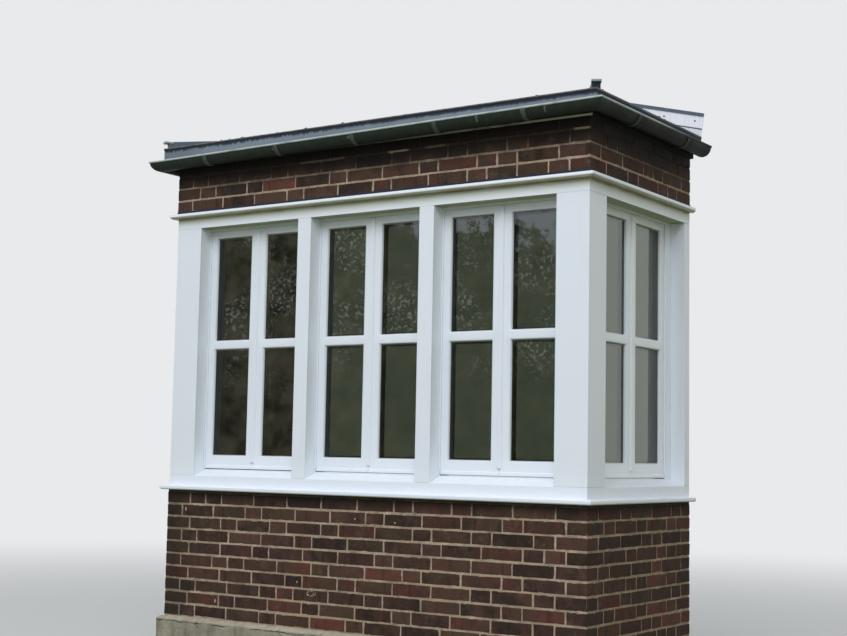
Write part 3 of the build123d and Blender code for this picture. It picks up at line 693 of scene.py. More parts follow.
@finish("White paint")
def paint_finish(tree):
    """White gloss paint with brush marks, a brown stain under the cap, painted green shade under ledges
    and on the fascia under the cap, painted light on the cap, on the sideways reveals and low down, and
    dirt with painted shade in corners.
    """
    timber = settings("timber")
    patches = mottled(tree, 2.4, 40.0, 1.4)
    height = tree.parts()["Z"]
    # Paint made lighter as painted light on the cap and on the reveals that face sideways
    lit_paint = tuple(min(0.97, 1.08 * part) for part in timber.paint)
    # Painted light: low down the paint keeps its full tone, without the darker patches
    lit_low_paint = tree.ramp(height, SILL_BOTTOM + 0.22, SILL_BOTTOM + 0.12)
    base = tree.mix(patches, scaled(0.96, timber.paint), timber.paint)
    base = tree.mix(lit_low_paint, base, timber.paint)
    # Painted light: the cap lighter than the paint below it
    base = tree.mix(tree.ramp(height, CAP_BOTTOM + 0.007, CAP_BOTTOM + 0.010), base, lit_paint)
    # Painted green shade on the fascia under the cap
    above = tree.ramp(height, CAP_BOTTOM - 0.066, CAP_BOTTOM - 0.004)
    below = tree.ramp(height, CAP_BOTTOM + 0.012, CAP_BOTTOM + 0.008)
    base = tree.stain(base, timber.green_shade, above, below, 0.6)
    # Painted light on the reveals that face sideways
    sideways = tree.ramp(tree.off(tree.parts(tree.facing())["X"]), 0.8, 0.95)
    base = tree.stain(base, lit_paint, tree.ramp(tree.reach(), -0.012, -0.02), sideways)
    ledges = tree.effect(ledge_dust_and_shade(), Scale=16.0)
    # Painted green shade on faces that look down
    base = tree.stain(base, timber.green_shade, ledges["Underside"], 0.93)
    base = tree.stain(base, screen(172, 170, 156), ledges["Top"], 0.08)
    base = tree.stain(base, screen(150, 152, 140), streaked(tree, 22.0, 0.04, 0.6), 0.10)
    # Dirt and painted shade in corners, gaps and under parts
    dirt = tree.effect(corner_dirt_and_shade(), Reach=0.012, Patches=9.0)["Mask"]
    base = tree.stain(base, screen(112, 114, 100), dirt, 0.38)
    worn = tree.effect(worn_arris(), Radius=0.003, Patches=7.0)["Mask"]
    base = tree.stain(base, screen(168, 166, 154), worn, 0.22)
    above = tree.ramp(height, CAP_BOTTOM - 0.022, CAP_BOTTOM - 0.002)
    below = tree.ramp(height, CAP_BOTTOM + 0.010, CAP_BOTTOM + 0.004)
    blotches = tree.ramp(tree.cloud((5, 5, 30), 4.0, 0.65), 0.40, 0.62)
    base = tree.stain(base, timber.rust, above, below, blotches, 0.6)
    marks = tree.plus(tree.cloud((160, 160, 5), 3.0, 0.6), tree.cloud(60.0, 2.0, 0.5))
    return {
        "Base Color": base, "Roughness": tree.ramp(patches, 0.1, 0.9, 0.34, 0.46),
        "Normal": tree.bump(marks, 0.0004, 0.45), "Coat Weight": 0.2, "Coat Roughness": 0.25,
    }


@finish("Glazing seal")
def seal_finish(tree):
    """Grey glazing seal between glass and timber."""
    patches = mottled(tree, 9.0, 90.0, 1.5)
    base = tree.mix(patches, screen(120, 126, 124), screen(176, 180, 178))
    normal = tree.bump(tree.cloud(300.0), 0.0003, 0.6)
    return {"Base Color": base, "Roughness": 0.55, "Normal": normal}


@finish("Spacer bar")
def spacer_finish(tree):
    """Aluminium spacer bar between the sheets of glass."""
    patches = mottled(tree, 20.0, 200.0, 1.2)
    base = tree.mix(patches, screen(138, 146, 148), screen(168, 176, 176))
    return {"Base Color": base, "Roughness": tree.ramp(patches, 0.0, 1.0, 0.34, 0.5), "Metallic": 0.8}


@finish("Window glass")
def glass_finish(tree):
    """Slightly green glass with faint patches of dust."""
    dust = mottled(tree, 3.0, 22.0, 1.8)
    tint = settings("glass").tint
    base = tree.mix(dust, tint, scaled(0.94, tint))
    waves = tree.cloud(2.2, 1.0, 0.4)
    rough = tree.ramp(dust, 0.2, 0.9, 0.0, 0.02)
    return {
        "Base Color": base, "Roughness": rough, "Normal": tree.bump(waves, 0.0012, 0.4),
        "Transmission Weight": 1.0, "IOR": 1.45,
    }


def zinc_patina(tree, base_colour, streak_colour, streak_share, low=0.68):
    """Colour and patina of zinc sheet: cloudy patches, crystal spangle, drip streaks and dust."""
    patina = mottled(tree, 6.0, 45.0, 2.2)
    base = tree.mix(patina, scaled(low, base_colour), base_colour)
    crystals = tree.put(
        "ShaderNodeTexVoronoi", {"Vector": tree.place(), "Scale": 85.0}, feature="F1"
    ).outputs["Color"]
    spangle = tree.times(tree.put("ShaderNodeSeparateColor", {0: crystals}).outputs[0], 0.14)
    base = tree.mix(spangle, base, (1.0, 1.0, 1.0), "OVERLAY")
    base = tree.stain(base, streak_colour, streaked(tree, 38.0, 0.10, 0.48), streak_share)
    dirt = tree.effect(ledge_dust_and_shade(), Scale=14.0)["Top"]
    return tree.stain(base, screen(86, 86, 72), dirt, 0.30), patina


def zinc_surface(tree, base, patina, metallic, roughness, gloss):
    """Zinc sheet of this colour, with scratches, slight waves and gloss."""
    scratches = tree.times(tree.cloud((240, 60, 60), 3.0, 0.7), 0.08)
    height = tree.plus(scratches, tree.cloud(6.0, 2.0, 0.5))
    return {
        "Base Color": base, "Metallic": metallic, "Specular IOR Level": gloss,
        "Roughness": tree.ramp(patina, 0.1, 0.9, roughness - 0.09, roughness + 0.1),
        "Normal": tree.bump(height, 0.002, 0.5),
    }


def drip_colours(tree):
    """Colours of the eaves from the roof's fold down to the gutter: pale zinc under ragged drips and
    painted shade, more of it towards the right, and a worn fold with a painted highlight.
    """
    zinc = settings("zinc")
    parts = tree.parts()
    low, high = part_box("eaves_strip")[0].z, SHEET_LOW.z + 0.008
    down = tree.math("DIVIDE", tree.minus(high, parts["Z"]), high - low)
    rightward = tree.ramp(parts["X"], -1.25, 0.5)
    drips = tree.cloud((70, 70, 5), 4.0, 0.7)
    runs = tree.cloud((11, 11, 2), 3.0, 0.6)
    ragged = tree.plus(tree.times(drips, 1.5), tree.times(runs, 0.7))
    # Towards the right more of the dark reaches down, as painted shade
    ragged = tree.times(ragged, tree.ramp(rightward, 0.0, 1.0, 0.50, 0.22))
    reached = tree.plus(ragged, tree.ramp(rightward, 0.0, 1.0, -0.20, 0.13))
    # Drips and painted shade below the fold
    drips_and_shade = tree.ramp(tree.minus(reached, down), -0.10, 0.12)
    patches = mottled(tree, 5.0, 45.0, 2.0)
    pale = tree.mix(patches, scaled(0.72, zinc.strip), zinc.strip)
    left_end = tree.ramp(parts["X"], -1.15, -1.4)
    pale = tree.stain(pale, screen(96, 108, 116), left_end, 0.6)
    shown = tree.stain(pale, zinc.drips_and_shade, drips_and_shade, 0.94)
    worn = tree.ramp(tree.cloud(30.0, 4.0, 0.7), 0.36, 0.6, 0.35, 1.0)
    # Wear and a painted highlight along the fold
    return tree.stain(shown, zinc.fold, tree.ramp(parts["Z"], high - 0.0015, high + 0.0005), worn)


@finish("Roof zinc")
def roof_zinc(tree):
    """Weathered zinc of the roof sheet, dark along its drip edge with drips and painted shade."""
    base, patina = zinc_patina(tree, settings("zinc").roof, screen(72, 78, 82), 0.35)
    edge = SHEET_HIGH.x - HALF_WIDTH
    # Drips and painted shade on the sheet's drip edge
    base = tree.mix(tree.ramp(tree.reach(), edge - 0.004, edge - 0.002), base, drip_colours(tree))
    return zinc_surface(tree, base, patina, 0.3, 0.56, 0.3)


@finish("Batten zinc")
def batten_zinc(tree):
    """Darker blue-grey zinc that wraps the hip battens."""
    base, patina = zinc_patina(tree, screen(58, 68, 84), screen(44, 50, 60), 0.4)
    leftward = tree.ramp(tree.parts()["X"], 0.5, -0.5, 0.0, 0.7)
    base = tree.mix(leftward, base, screen(104, 118, 126))
    return zinc_surface(tree, base, patina, 0.2, 0.55, 0.25)


@finish("Plate zinc")
def plate_zinc(tree):
    """Paler zinc of the plates over the ends of the hip battens."""
    base, patina = zinc_patina(tree, screen(158, 174, 182), screen(110, 122, 128), 0.3)
    return zinc_surface(tree, base, patina, 0.1, 0.5, 0.3)


@finish("Eaves zinc")
def strip_zinc(tree):
    """Zinc strip over the gutter, streaked by drips from the roof edge, with painted shade under that
    edge.
    """
    patina = mottled(tree, 6.0, 45.0, 2.2)
    return zinc_surface(tree, drip_colours(tree), patina, 0.1, 0.5, 0.2)


@finish("Flashing zinc")
def bright_zinc(tree):
    """New zinc of the wall flashing."""
    base, patina = zinc_patina(tree, settings("zinc").bright, screen(204, 211, 222), 0.25, 0.90)
    return zinc_surface(tree, base, patina, 0.0, 0.45, 0.3)


@finish("Lower flashing zinc")
def lower_zinc(tree):
    """Speckled zinc of the flashing below the lap, with a painted shadow line under the lap."""
    zinc = settings("zinc")
    pale = scaled(0.92, zinc.bright)
    base, patina = zinc_patina(tree, pale, screen(160, 170, 178), 0.4, 0.84)
    specks = tree.ramp(tree.cloud(90.0, 3.0, 0.7), 0.54, 0.66)
    base = tree.stain(base, screen(128, 138, 146), specks, 0.5)
    parts = tree.parts()
    rise = SHEET_HIGH.z - FLASHING_LOW.z
    inward = tree.minus(DECK_HIGH.x, tree.off(parts["X"]))
    slope = tree.times(tree.math("DIVIDE", inward, zinc.side_run), rise)
    roof = tree.plus(FLASHING_LOW.z, tree.math("MINIMUM", slope, rise))
    below = tree.minus(tree.plus(roof, zinc.lap), parts["Z"])
    # Painted shadow under the lap of the upper flashing
    line = tree.times(tree.ramp(below, -0.002, 0.0), tree.ramp(below, 0.0085, 0.005))
    base = tree.stain(base, screen(52, 62, 72), line, 0.9)
    return zinc_surface(tree, base, patina, 0.1, 0.48, 0.3)


@finish("Cap zinc")
def dark_zinc(tree):
    """Old dark zinc of the flashing's cap."""
    base, patina = zinc_patina(tree, screen(92, 104, 118), screen(112, 122, 130), 0.3)
    return zinc_surface(tree, base, patina, 0.2, 0.48, 0.3)


@finish("Gutter zinc")
def gutter_zinc(tree):
    """Old dark zinc of the gutter with a rolled edge worn bright and given a painted highlight, and
    painted shade on its belly.
    """
    zinc = settings("zinc")
    base, patina = zinc_patina(tree, zinc.dark, screen(58, 65, 56), 0.35)
    reach = tree.reach()
    # Painted shade on the gutter's belly
    belly = tree.ramp(reach, zinc.gutter_centre + 0.016, zinc.gutter_centre - 0.004)
    base = tree.stain(base, screen(17, 18, 15), belly, 0.8)
    parts = tree.parts()
    on_side = tree.ramp(parts["Y"], FACE_Y - 0.1, FACE_Y + 0.1)
    base = tree.stain(base, screen(20, 21, 17), on_side, 0.88)
    rim = zinc.gutter_centre + zinc.gutter_radius
    # Worn bright bead with a painted highlight, strongest towards the front
    worn = tree.ramp(tree.cloud((7, 7, 7), 4.0, 0.6), 0.30, 0.55, 0.6, 1.0)
    worn = tree.times(worn, tree.ramp(parts["Y"], 0.45, -0.1, 0.12, 1.0))
    bead = tree.times(tree.ramp(reach, rim - 0.0004, rim + 0.0006), worn)
    base = tree.mix(bead, base, zinc.bead)
    return zinc_surface(tree, base, patina, 0.1, 0.6, 0.12)


@finish("Strap zinc")
def strap_zinc(tree):
    """Greenish grey zinc of the gutter's straps and laps."""
    base, patina = zinc_patina(tree, settings("zinc").strap, screen(66, 72, 66), 0.4)
    # Worn edges, lighter also as a painted highlight
    worn = tree.effect(worn_arris(), Radius=0.003, Patches=40.0)["Mask"]
    base = tree.stain(base, screen(150, 158, 150), worn, 0.8)
    on_side = tree.ramp(tree.parts()["Y"], FACE_Y - 0.1, FACE_Y + 0.1)
    base = tree.stain(base, screen(24, 25, 22), on_side, 0.65)
    return zinc_surface(tree, base, patina, 0.1, 0.6, 0.15)


@finish("Solder")
def solder_finish(tree):
    """Solder on the joints of the gutter."""
    base, patina = zinc_patina(tree, screen(96, 106, 98), screen(66, 72, 66), 0.5)
    return zinc_surface(tree, base, patina, 0.1, 0.6, 0.2)


@finish("Roof crumbs")
def crumb_finish(tree):
    """Moss and crumbs of mortar that lie on the roof edge."""
    patches = mottled(tree, 30.0, 200.0, 2.5)
    dark, pale = screen(74, 76, 48), screen(142, 134, 112)
    return sandy(tree, patches, dark, pale, (900.0, 300.0, 60.0), 0.95, 0.002)


@finish("Bitumen felt")
def felt_finish(tree):
    """Bitumen felt in the bed over the cap."""
    patches = mottled(tree, 14.0, 120.0, 2.0)
    dark = settings("masonry").felt
    base = tree.mix(patches, scaled(0.55, dark), dark)
    normal = tree.bump(tree.cloud(220.0, 4.0, 0.7), 0.0015, 1.0)
    return {"Base Color": base, "Roughness": 0.8, "Normal": normal}


# How far the grain of a board is squeezed along X, Y and Z
ALONG_X = (3, 42, 42)
ALONG_Y = (42, 3, 42)


def sawn(tree, pale, dark, grain, rough):
    """Timber with growth rings, pores and a few darker boards."""
    rings = tree.cloud(grain, 5.0, 0.6, 0.7)
    pores = tree.cloud(scaled(9, grain), 2.0, 0.7)
    base = tree.mix(tree.ramp(rings, 0.32, 0.68), dark, pale)
    base = tree.mix(tree.ramp(pores, 0.55, 0.7, 0.0, 0.5), base, scaled(0.4, dark))
    return {
        "Base Color": tree.stain(base, dark, tree.parts(tree.tone())["X"], 0.45), "Roughness": rough,
        "Normal": tree.bump(tree.plus(rings, tree.times(pores, 0.6)), 0.0012, 0.6),
    }


@finish("Stained board")
def frieze_finish(tree):
    """Dark stained board behind the gutter, with a bare lower edge towards the right corner."""
    timber = settings("timber")
    board = sawn(tree, scaled(1.6, timber.frieze), timber.frieze, ALONG_X, 0.8)
    parts = tree.parts()
    edge = tree.ramp(parts["Z"], FRIEZE_BOTTOM + 0.013, FRIEZE_BOTTOM + 0.008)
    patches = tree.ramp(tree.cloud((6, 6, 40), 4.0, 0.7), 0.28, 0.55, 0.35, 1.0)
    front = tree.ramp(parts["Y"], FACE_Y - 0.014, FACE_Y - 0.018)
    grows = tree.times(tree.ramp(parts["X"], -0.5, 1.2, 0.05, 1.0), front)
    bare = tree.stain(board["Base Color"], timber.lip, edge, grows, patches)
    return {**board, "Base Color": bare, "Specular IOR Level": 0.1}


@finish("Sawn timber")
def bare_timber(tree):
    """Sawn softwood of the roof, dark at the open edge of the deck with drips and painted shade."""
    pale = settings("timber").bare
    board = sawn(tree, pale, scaled(0.55, pale), ALONG_Y, 0.8)
    edge = DECK_HIGH.x - HALF_WIDTH
    # Drips and painted shade at the open edge of the deck
    drips_and_shade = tree.ramp(tree.reach(), edge - 0.012, edge - 0.003)
    return {**board, "Base Color": tree.mix(drips_and_shade, board["Base Color"], drip_colours(tree))}


@finish("Oak boards")
def floor_finish(tree):
    """Oiled oak floorboards."""
    pale = settings("room").board
    return sawn(tree, pale, scaled(0.5, pale), ALONG_X, 0.42)


@finish("Plaster")
def plaster_finish(tree):
    """Matt painted plaster with roller texture and faint trowel waves."""
    pale = settings("room").plaster
    patches = mottled(tree, 1.8, 18.0, 1.5)
    return sandy(tree, patches, scaled(0.88, pale), pale, (500.0, 160.0, 5.0), 0.88, 0.0012, 0.7)


@finish("Slab concrete")
def slab_finish(tree):
    """Trowelled concrete under the floorboards."""
    patches = mottled(tree, 4.0, 50.0, 2.0)
    dark, pale = screen(118, 114, 106), screen(166, 162, 152)
    return sandy(tree, patches, dark, pale, (500.0, 90.0, 9.0), 0.9, 0.003, 0.9)


@finish("Satin fittings")
def fitting_finish(tree):
    """Satin metal of handles, hinges and fixings."""
    pale = settings("room").metal
    patches = mottled(tree, 30.0, 260.0, 1.6)
    base = tree.mix(patches, scaled(0.78, pale), pale)
    rough = tree.ramp(patches, 0.0, 1.0, 0.24, 0.4)
    brushed = tree.cloud((900, 900, 60), 2.0, 0.6)
    return {
        "Base Color": base, "Roughness": rough, "Normal": tree.bump(brushed, 0.0002, 0.4),
        "Metallic": 0.9,
    }


# Meshes

PLAIN = (0.5, 0.5, 0.5)


class Form:
    """Points, faces and tones gathered for one piece."""

    def __init__(self):
        self.points = []
        self.faces = []
        self.tones = []

    def add(self, points, faces, tone=PLAIN):
        """Add a patch of surface."""
        first = len(self.points)
        self.points.extend(points)
        self.faces.extend(tuple(first + index for index in face) for face in faces)
        self.tones.extend([tone] * len(points))

    def add_mesh(self, work):
        """Add the surface of an edit mesh and free it."""
        work.verts.index_update()
        self.add(
            [point.co.copy() for point in work.verts],
            [tuple(point.index for point in face.verts) for face in work.faces],
        )
        work.free()

    def move(self, turn, shift=Vector((0, 0, 0))):
        """Turn and shift all points."""
        self.points = [turn @ point + shift for point in self.points]

    def piece(self, name, finish, slot, smooth=SMOOTH):
        """Make the object, riding on the one body of the bay."""
        mesh = bpy.data.meshes.new(name)
        mesh.from_pydata([tuple(point) for point in self.points], [], self.faces)
        mesh.materials.append(finish)
        tones = mesh.attributes.new("tone", "FLOAT_VECTOR", "POINT")
        tones.data.foreach_set("vector", [part for tone in self.tones for part in tone])
        return settle(name, mesh, smooth)


def placed(name, data):
    """A new object in the scene."""
    made = bpy.data.objects.new(name, data)
    bpy.context.scene.collection.objects.link(made)
    return made


def settle(name, mesh, smooth=SMOOTH):
    """Link a finished mesh as a piece of the bay: outward faces, smooth but for sharp edges."""
    work = bmesh.new()
    work.from_mesh(mesh)
    bmesh.ops.recalc_face_normals(work, faces=work.faces)
    work.to_mesh(mesh)
    work.free()
    mesh.shade_smooth()
    mesh.set_sharp_from_angle(angle=smooth)
    made = placed(name, mesh)
    made.modifiers.new("Even shading", "WEIGHTED_NORMAL").keep_sharp = True
    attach(made, "root")
    return made


def refinish(node, finish):
    """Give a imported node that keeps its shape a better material."""
    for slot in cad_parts[node].material_slots:
        slot.material = finish


def welded(node):
    """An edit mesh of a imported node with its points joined."""
    work = bmesh.new()
    work.from_mesh(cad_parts[node].data)
    bmesh.ops.remove_doubles(work, verts=work.verts, dist=WELD)
    return work


def sharp_lines(work):
    """The edges where faces meet at an angle."""
    return [line for line in work.edges if line.is_manifold and line.calc_face_angle() > SHARP]


def bevel(work, lines, width, segments=2):
    """Round or slope some edges by this much."""
    bmesh.ops.bevel(
        work, geom=lines, offset=width, offset_type="OFFSET", segments=segments, profile=0.5,
        affect="EDGES", clamp_overlap=True,
    )


def eased(node, finish, edge):
    """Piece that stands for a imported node, with its sharp edges rounded by this much."""
    work = welded(node)
    bmesh.ops.dissolve_limit(work, angle_limit=FLAT, verts=work.verts, edges=work.edges)
    bevel(work, sharp_lines(work), edge)
    mesh = bpy.data.meshes.new(node)
    work.to_mesh(mesh)
    work.free()
    mesh.materials.clear()
    mesh.materials.append(finish)
    made = settle(f"{node}_eased", mesh)
    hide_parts(node)
    return made


def solids_of(node):
    """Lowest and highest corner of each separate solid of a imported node, from left to right."""
    work = welded(node)
    seen = set()
    boxes = []
    for start in work.verts:
        if start in seen:
            continue
        seen.add(start)
        solid = [start]
        for point in solid:
            for line in point.link_edges:
                near = line.other_vert(point)
                if near not in seen:
                    seen.add(near)
                    solid.append(near)
        across, along, up = zip(*(point.co for point in solid))
        low, high = (Vector(map(end, (across, along, up))) for end in (min, max))
        boxes.append((low, high))
    work.free()
    return sorted(boxes, key=lambda box: tuple(round(part, 4) for part in box[0]))


def steps(start, end, pitch):
    """Even steps from start to end that are no longer than the pitch."""
    count = max(1, math.ceil(abs(end - start) / pitch - 1e-6))
    return [start + (end - start) * index / count for index in range(count + 1)]


def tube(rows, size, closed=False):
    """Faces round rows of so many points each; the ends are joined, or else filled."""
    faces = []
    for row in range(rows if closed else rows - 1):
        here, there = row * size, (row + 1) % rows * size
        for index in range(size):
            after = (index + 1) % size
            faces.append((here + index, here + after, there + after, there + index))
    if not closed:
        faces += [tuple(range(size)), tuple(range((rows - 1) * size, rows * size))]
    return faces


def path(pitch, wall_gap):
    """Stations along the three sides, from the wall on the left to the wall on the right."""
    corners = [(point.copy(), out) for point, out in PLAN]
    corners[0][0].y -= wall_gap
    corners[-1][0].y -= wall_gap
    stations = []
    for (point_a, out_a), (point_b, out_b) in zip(corners, corners[1:]):
        count = max(1, math.ceil((point_b - point_a).length / pitch))
        for index in range(count):
            part = index / count
            stations.append((point_a.lerp(point_b, part), out_a.lerp(out_b, part)))
    return [*stations, corners[-1]]


def wrap(form, profile, pitch, move=None, wall_gap=0.0):
    """Run a closed profile round the three sides; x of the profile points out of the brick face."""
    stations = path(pitch, wall_gap)
    points = []
    for place, out in stations:
        for reach, height in profile:
            point = Vector((place.x + out.x * reach, place.y + out.y * reach, height))
            if move is not None:
                point = move(point, out.normalized(), reach)
            points.append(point)
    form.add(points, tube(len(stations), len(profile)))


def block_points(half, rounding, cells):
    """Points, ways out and faces of a closed block of lattice cells with rounded edges."""
    lines = []
    for reach, count in zip(half, cells):
        inner = steps(-(reach - rounding), reach - rounding, 2 * reach / count)
        lines.append([-reach, *inner, reach])
    index_of = {}
    points = []
    ways = []
    faces = []

    def point(key):
        if key not in index_of:
            index_of[key] = len(points)
            place = Vector(line[part] for line, part in zip(lines, key))
            core = Vector(
                max(rounding - reach, min(reach - rounding, part)) for reach, part in zip(half, place)
            )
            way = (place - core).normalized()
            points.append(core + way * rounding)
            ways.append(way)
        return index_of[key]

    for axis in range(3):
        first, second = (axis + 1) % 3, (axis + 2) % 3
        for end in (0, len(lines[axis]) - 1):
            for i in range(len(lines[first]) - 1):
                for j in range(len(lines[second]) - 1):
                    corners = []
                    for di, dj in ((0, 0), (1, 0), (1, 1), (0, 1)):
                        key = [0, 0, 0]
                        key[axis], key[first], key[second] = end, i + di, j + dj
                        corners.append(point(tuple(key)))
                    faces.append(tuple(corners))
    return points, ways, faces


def block(form, low, high, rounding, tone=PLAIN):
    """A plain closed block with rounded edges between two corners."""
    low, high = Vector(low), Vector(high)
    half = (high - low) / 2
    points, _, faces = block_points(half, min(rounding, min(half) * 0.45), (1, 1, 1))
    form.add([point + (low + high) / 2 for point in points], faces, tone)


def lump(form, middle, half, chance):
    """A small uneven lump round a middle; half is its reach along each axis."""
    work = bmesh.new()
    bmesh.ops.create_icosphere(work, subdivisions=1, radius=1.0)
    away = Vector((chance.uniform(0, 90), chance.uniform(0, 90), 0))
    for point in work.verts:
        swell = 1.0 + 0.55 * noise.noise(point.co * 1.3 + away)
        point.co = Vector(
            place + reach * part * swell for place, reach, part in zip(middle, half, point.co)
        )
    form.add_mesh(work)


# Masonry

# Lime on the front bricks, read off the photo: place across and up, width and height
LIME_MARKS = (
    (-1.3316, 1.0599, 0.009, 0.024), (-1.0645, 0.5108, 0.009, 0.024), (-0.4249, 0.6663, 0.009, 0.014),
    (-0.0097, 1.0502, 0.010, 0.008), (0.2723, 1.0391, 0.010, 0.009),
)
LIME_BLOOM = (-0.318, 0.607, 0.036, 0.020)
BLOOM_SPECKS = 34

# Bricks of each course from left to right: S stretcher, Q three quarters, H header
APRON_BOND = (
    "HHSSHSSHSSSHSHH",
    "QSHSSHSSHSSSHQ",
    "HHSSHHSSHSSSHSH",
    "QSSSHSHSSSHSHQ",
    "HSHHSSHSSHSSHSH",
    "QSSHSSSHSSSSQ",
    "HHSSSHSSSHSSHHH",
    "QSHSHSHSSHSHSHQ",
    "HSSHSSSHSSSHSH",
    "QHHSSSSSHSHSSQ",
)
BAND_BOND = ("HSSSHSSHSSHQQHH", "QHSHSSHSSHSHHSQ", "HHSSHSSSHSHSHSH", "QSHSSHSHSSHSSQ")
SIDE_BOND = {
    "H": ("QSHSHHQ", "QHSHSHQ", "QSHHSHQ"),
    "Q": ("HSSHHSH", "HSHSSHH", "HHSSHSH"),
}
MODULES = {"H": 1.0, "Q": 1.5, "S": 2.0}

# Length of brick and of mortar face between the points that carry its unevenness
BRICK_CELL = 0.024
MORTAR_CELL = 0.0175
# How much a brick's length may differ, and its tilt about X and Z in degrees
BRICK_STRETCH = 0.0011
BRICK_TILTS = (("X", 0.26), ("Z", 0.12))
# Scale and depth of each layer of waves, and scale, start and depth of the chips
BRICK_WAVES = ((14.0, 0.0013), (45.0, 0.0010))
BRICK_CHIPS = (26.0, 0.27, 0.024)
PLINTH_CHIPS = (17.0, 0.42, 0.02)
# How far a brick's flat faces may sink and swell
FACE_SINK, FACE_SWELL = -0.0007, 0.0009
# Scale and depth of the plinth's pits, and reach and depth of the wear at its corners
PLINTH_PITS = (9.0, 0.0035)
PLINTH_WEAR = (0.012, 0.005)
MORTAR_WAVES = ((21.0, 0.0009), (70.0, 0.0005))
FELT_WAVES = ((9.0, 0.0014), (40.0, 0.0008))
# What the bricks and the mortar stay clear of the wall of the building, so that the joints show there
BRICK_GAP = 0.0022
MORTAR_GAP = 0.0075
# Plaster on the room side of the band
SKIN = 0.012


def waves(point, layers):
    """Unevenness at a point; each layer has its scale and its depth."""
    return sum(noise.noise(point * scale) * depth for scale, depth in layers)


def chipped(point, chips):
    """How deep a point is chipped, from the scale, start and depth of the chips."""
    scale, start, depth = chips
    return max(0.0, noise.noise(point * scale) - start) * depth


class BrickLayer:
    """Lays bricks of varied tone and shape into one form."""

    def __init__(self, seed):
        self.sizes = settings("masonry")
        self.form = Form()
        self.chance = random.Random(seed)

    def brick(self, low, high, along=None):
        """One brick between two corners, a little out of true, with worn and chipped edges.

        It is longer or shorter along the wall and in height only: its outer faces stay in place.
        """
        low, high = Vector(low), Vector(high)
        shrink = Vector(
            self.chance.uniform(-BRICK_STRETCH, BRICK_STRETCH) * (axis in (along, 2))
            for axis in range(3)
        )
        half = (high - low) / 2 - shrink
        cells = [max(1, round(2 * reach / BRICK_CELL)) for reach in half]
        rounding = self.sizes.arris * self.chance.uniform(0.6, 1.25)
        points, ways, faces = block_points(half, rounding, cells)
        middle = (low + high) / 2
        play = self.sizes.play
        shift = Vector(
            self.chance.uniform(-play, play) * (0.7 if axis in (along, 2) else 0.3) for axis in range(3)
        )
        turn = Matrix.Identity(4)
        for axis, tilt in BRICK_TILTS:
            turn = turn @ Matrix.Rotation(math.radians(self.chance.gauss(0.0, tilt)), 4, axis)
        offset = Vector((self.chance.uniform(0, 50), 0, 0))
        worn = []
        for point, way in zip(points, ways):
            where = point + middle + offset
            swell = waves(where, BRICK_WAVES)
            bulge = swell - chipped(where, BRICK_CHIPS)
            on_face = max(map(abs, way)) > 0.95
            if on_face:
                bulge = max(FACE_SINK, min(FACE_SWELL, swell))
            worn.append(turn @ (point + way * bulge) + middle + shift)
        light = self.chance.betavariate(1.7, 2.3)
        red = self.chance.betavariate(1.3, 1.9)
        self.form.add(worn, faces, (light, red, self.chance.random()))

    def course(self, base, bond, index, behind):
        """One course round the three sides; behind is where the masonry ends in the wall."""
        sizes = self.sizes
        bottom = base + sizes.bed / 2
        top = base + sizes.course - sizes.bed / 2
        reach = 0.0
        for place, letter in enumerate(bond):
            start = -HALF_WIDTH + reach * sizes.module
            reach += MODULES[letter]
            end = -HALF_WIDTH + reach * sizes.module - sizes.perpend
            corner = place in (0, len(bond) - 1)
            deep = 1.5 * sizes.module - sizes.perpend if corner and letter == "H" else sizes.depth
            self.brick((start, FACE_Y, bottom), (end, FACE_Y + deep, top), None if corner else 0)
        if abs(reach * sizes.module - sizes.perpend - 2 * HALF_WIDTH) > 0.001:
            raise ValueError(f"the bricks of {bond} don't fill the front")
        for side, letter in ((-1, bond[0]), (1, bond[-1])):
            side_bond = SIDE_BOND[letter][(index // 2) % 3]
            reach = MODULES[side_bond[0]]
            for place, kind in enumerate(side_bond[1:], start=1):
                start = FACE_Y + reach * sizes.module
                reach += MODULES[kind]
                end = min(FACE_Y + reach * sizes.module - sizes.perpend, BACK_Y - BRICK_GAP)
                last = place == len(side_bond) - 1
                deep = behind if last and kind == "H" else sizes.depth
                self.side_brick(side, start, end, 0.0, deep, bottom, top)
                if last and kind != "H":
                    inner = sizes.depth + sizes.perpend
                    self.side_brick(side, start, end, inner, behind, bottom, top)

    def side_brick(self, side, start, end, outer, inner, bottom, top):
        """A brick of a side wall, between two depths behind the brick face."""
        across = sorted((side * (HALF_WIDTH - outer), side * (HALF_WIDTH - inner)))
        self.brick((across[0], start, bottom), (across[1], end, top), 1)


def rough_mortar(point, out, reach):
    """Small waves of a mortar face."""
    if reach < -settings("masonry").recess - 1e-5:
        return point
    return point + Vector((out.x, out.y, 0)) * waves(point, MORTAR_WAVES)


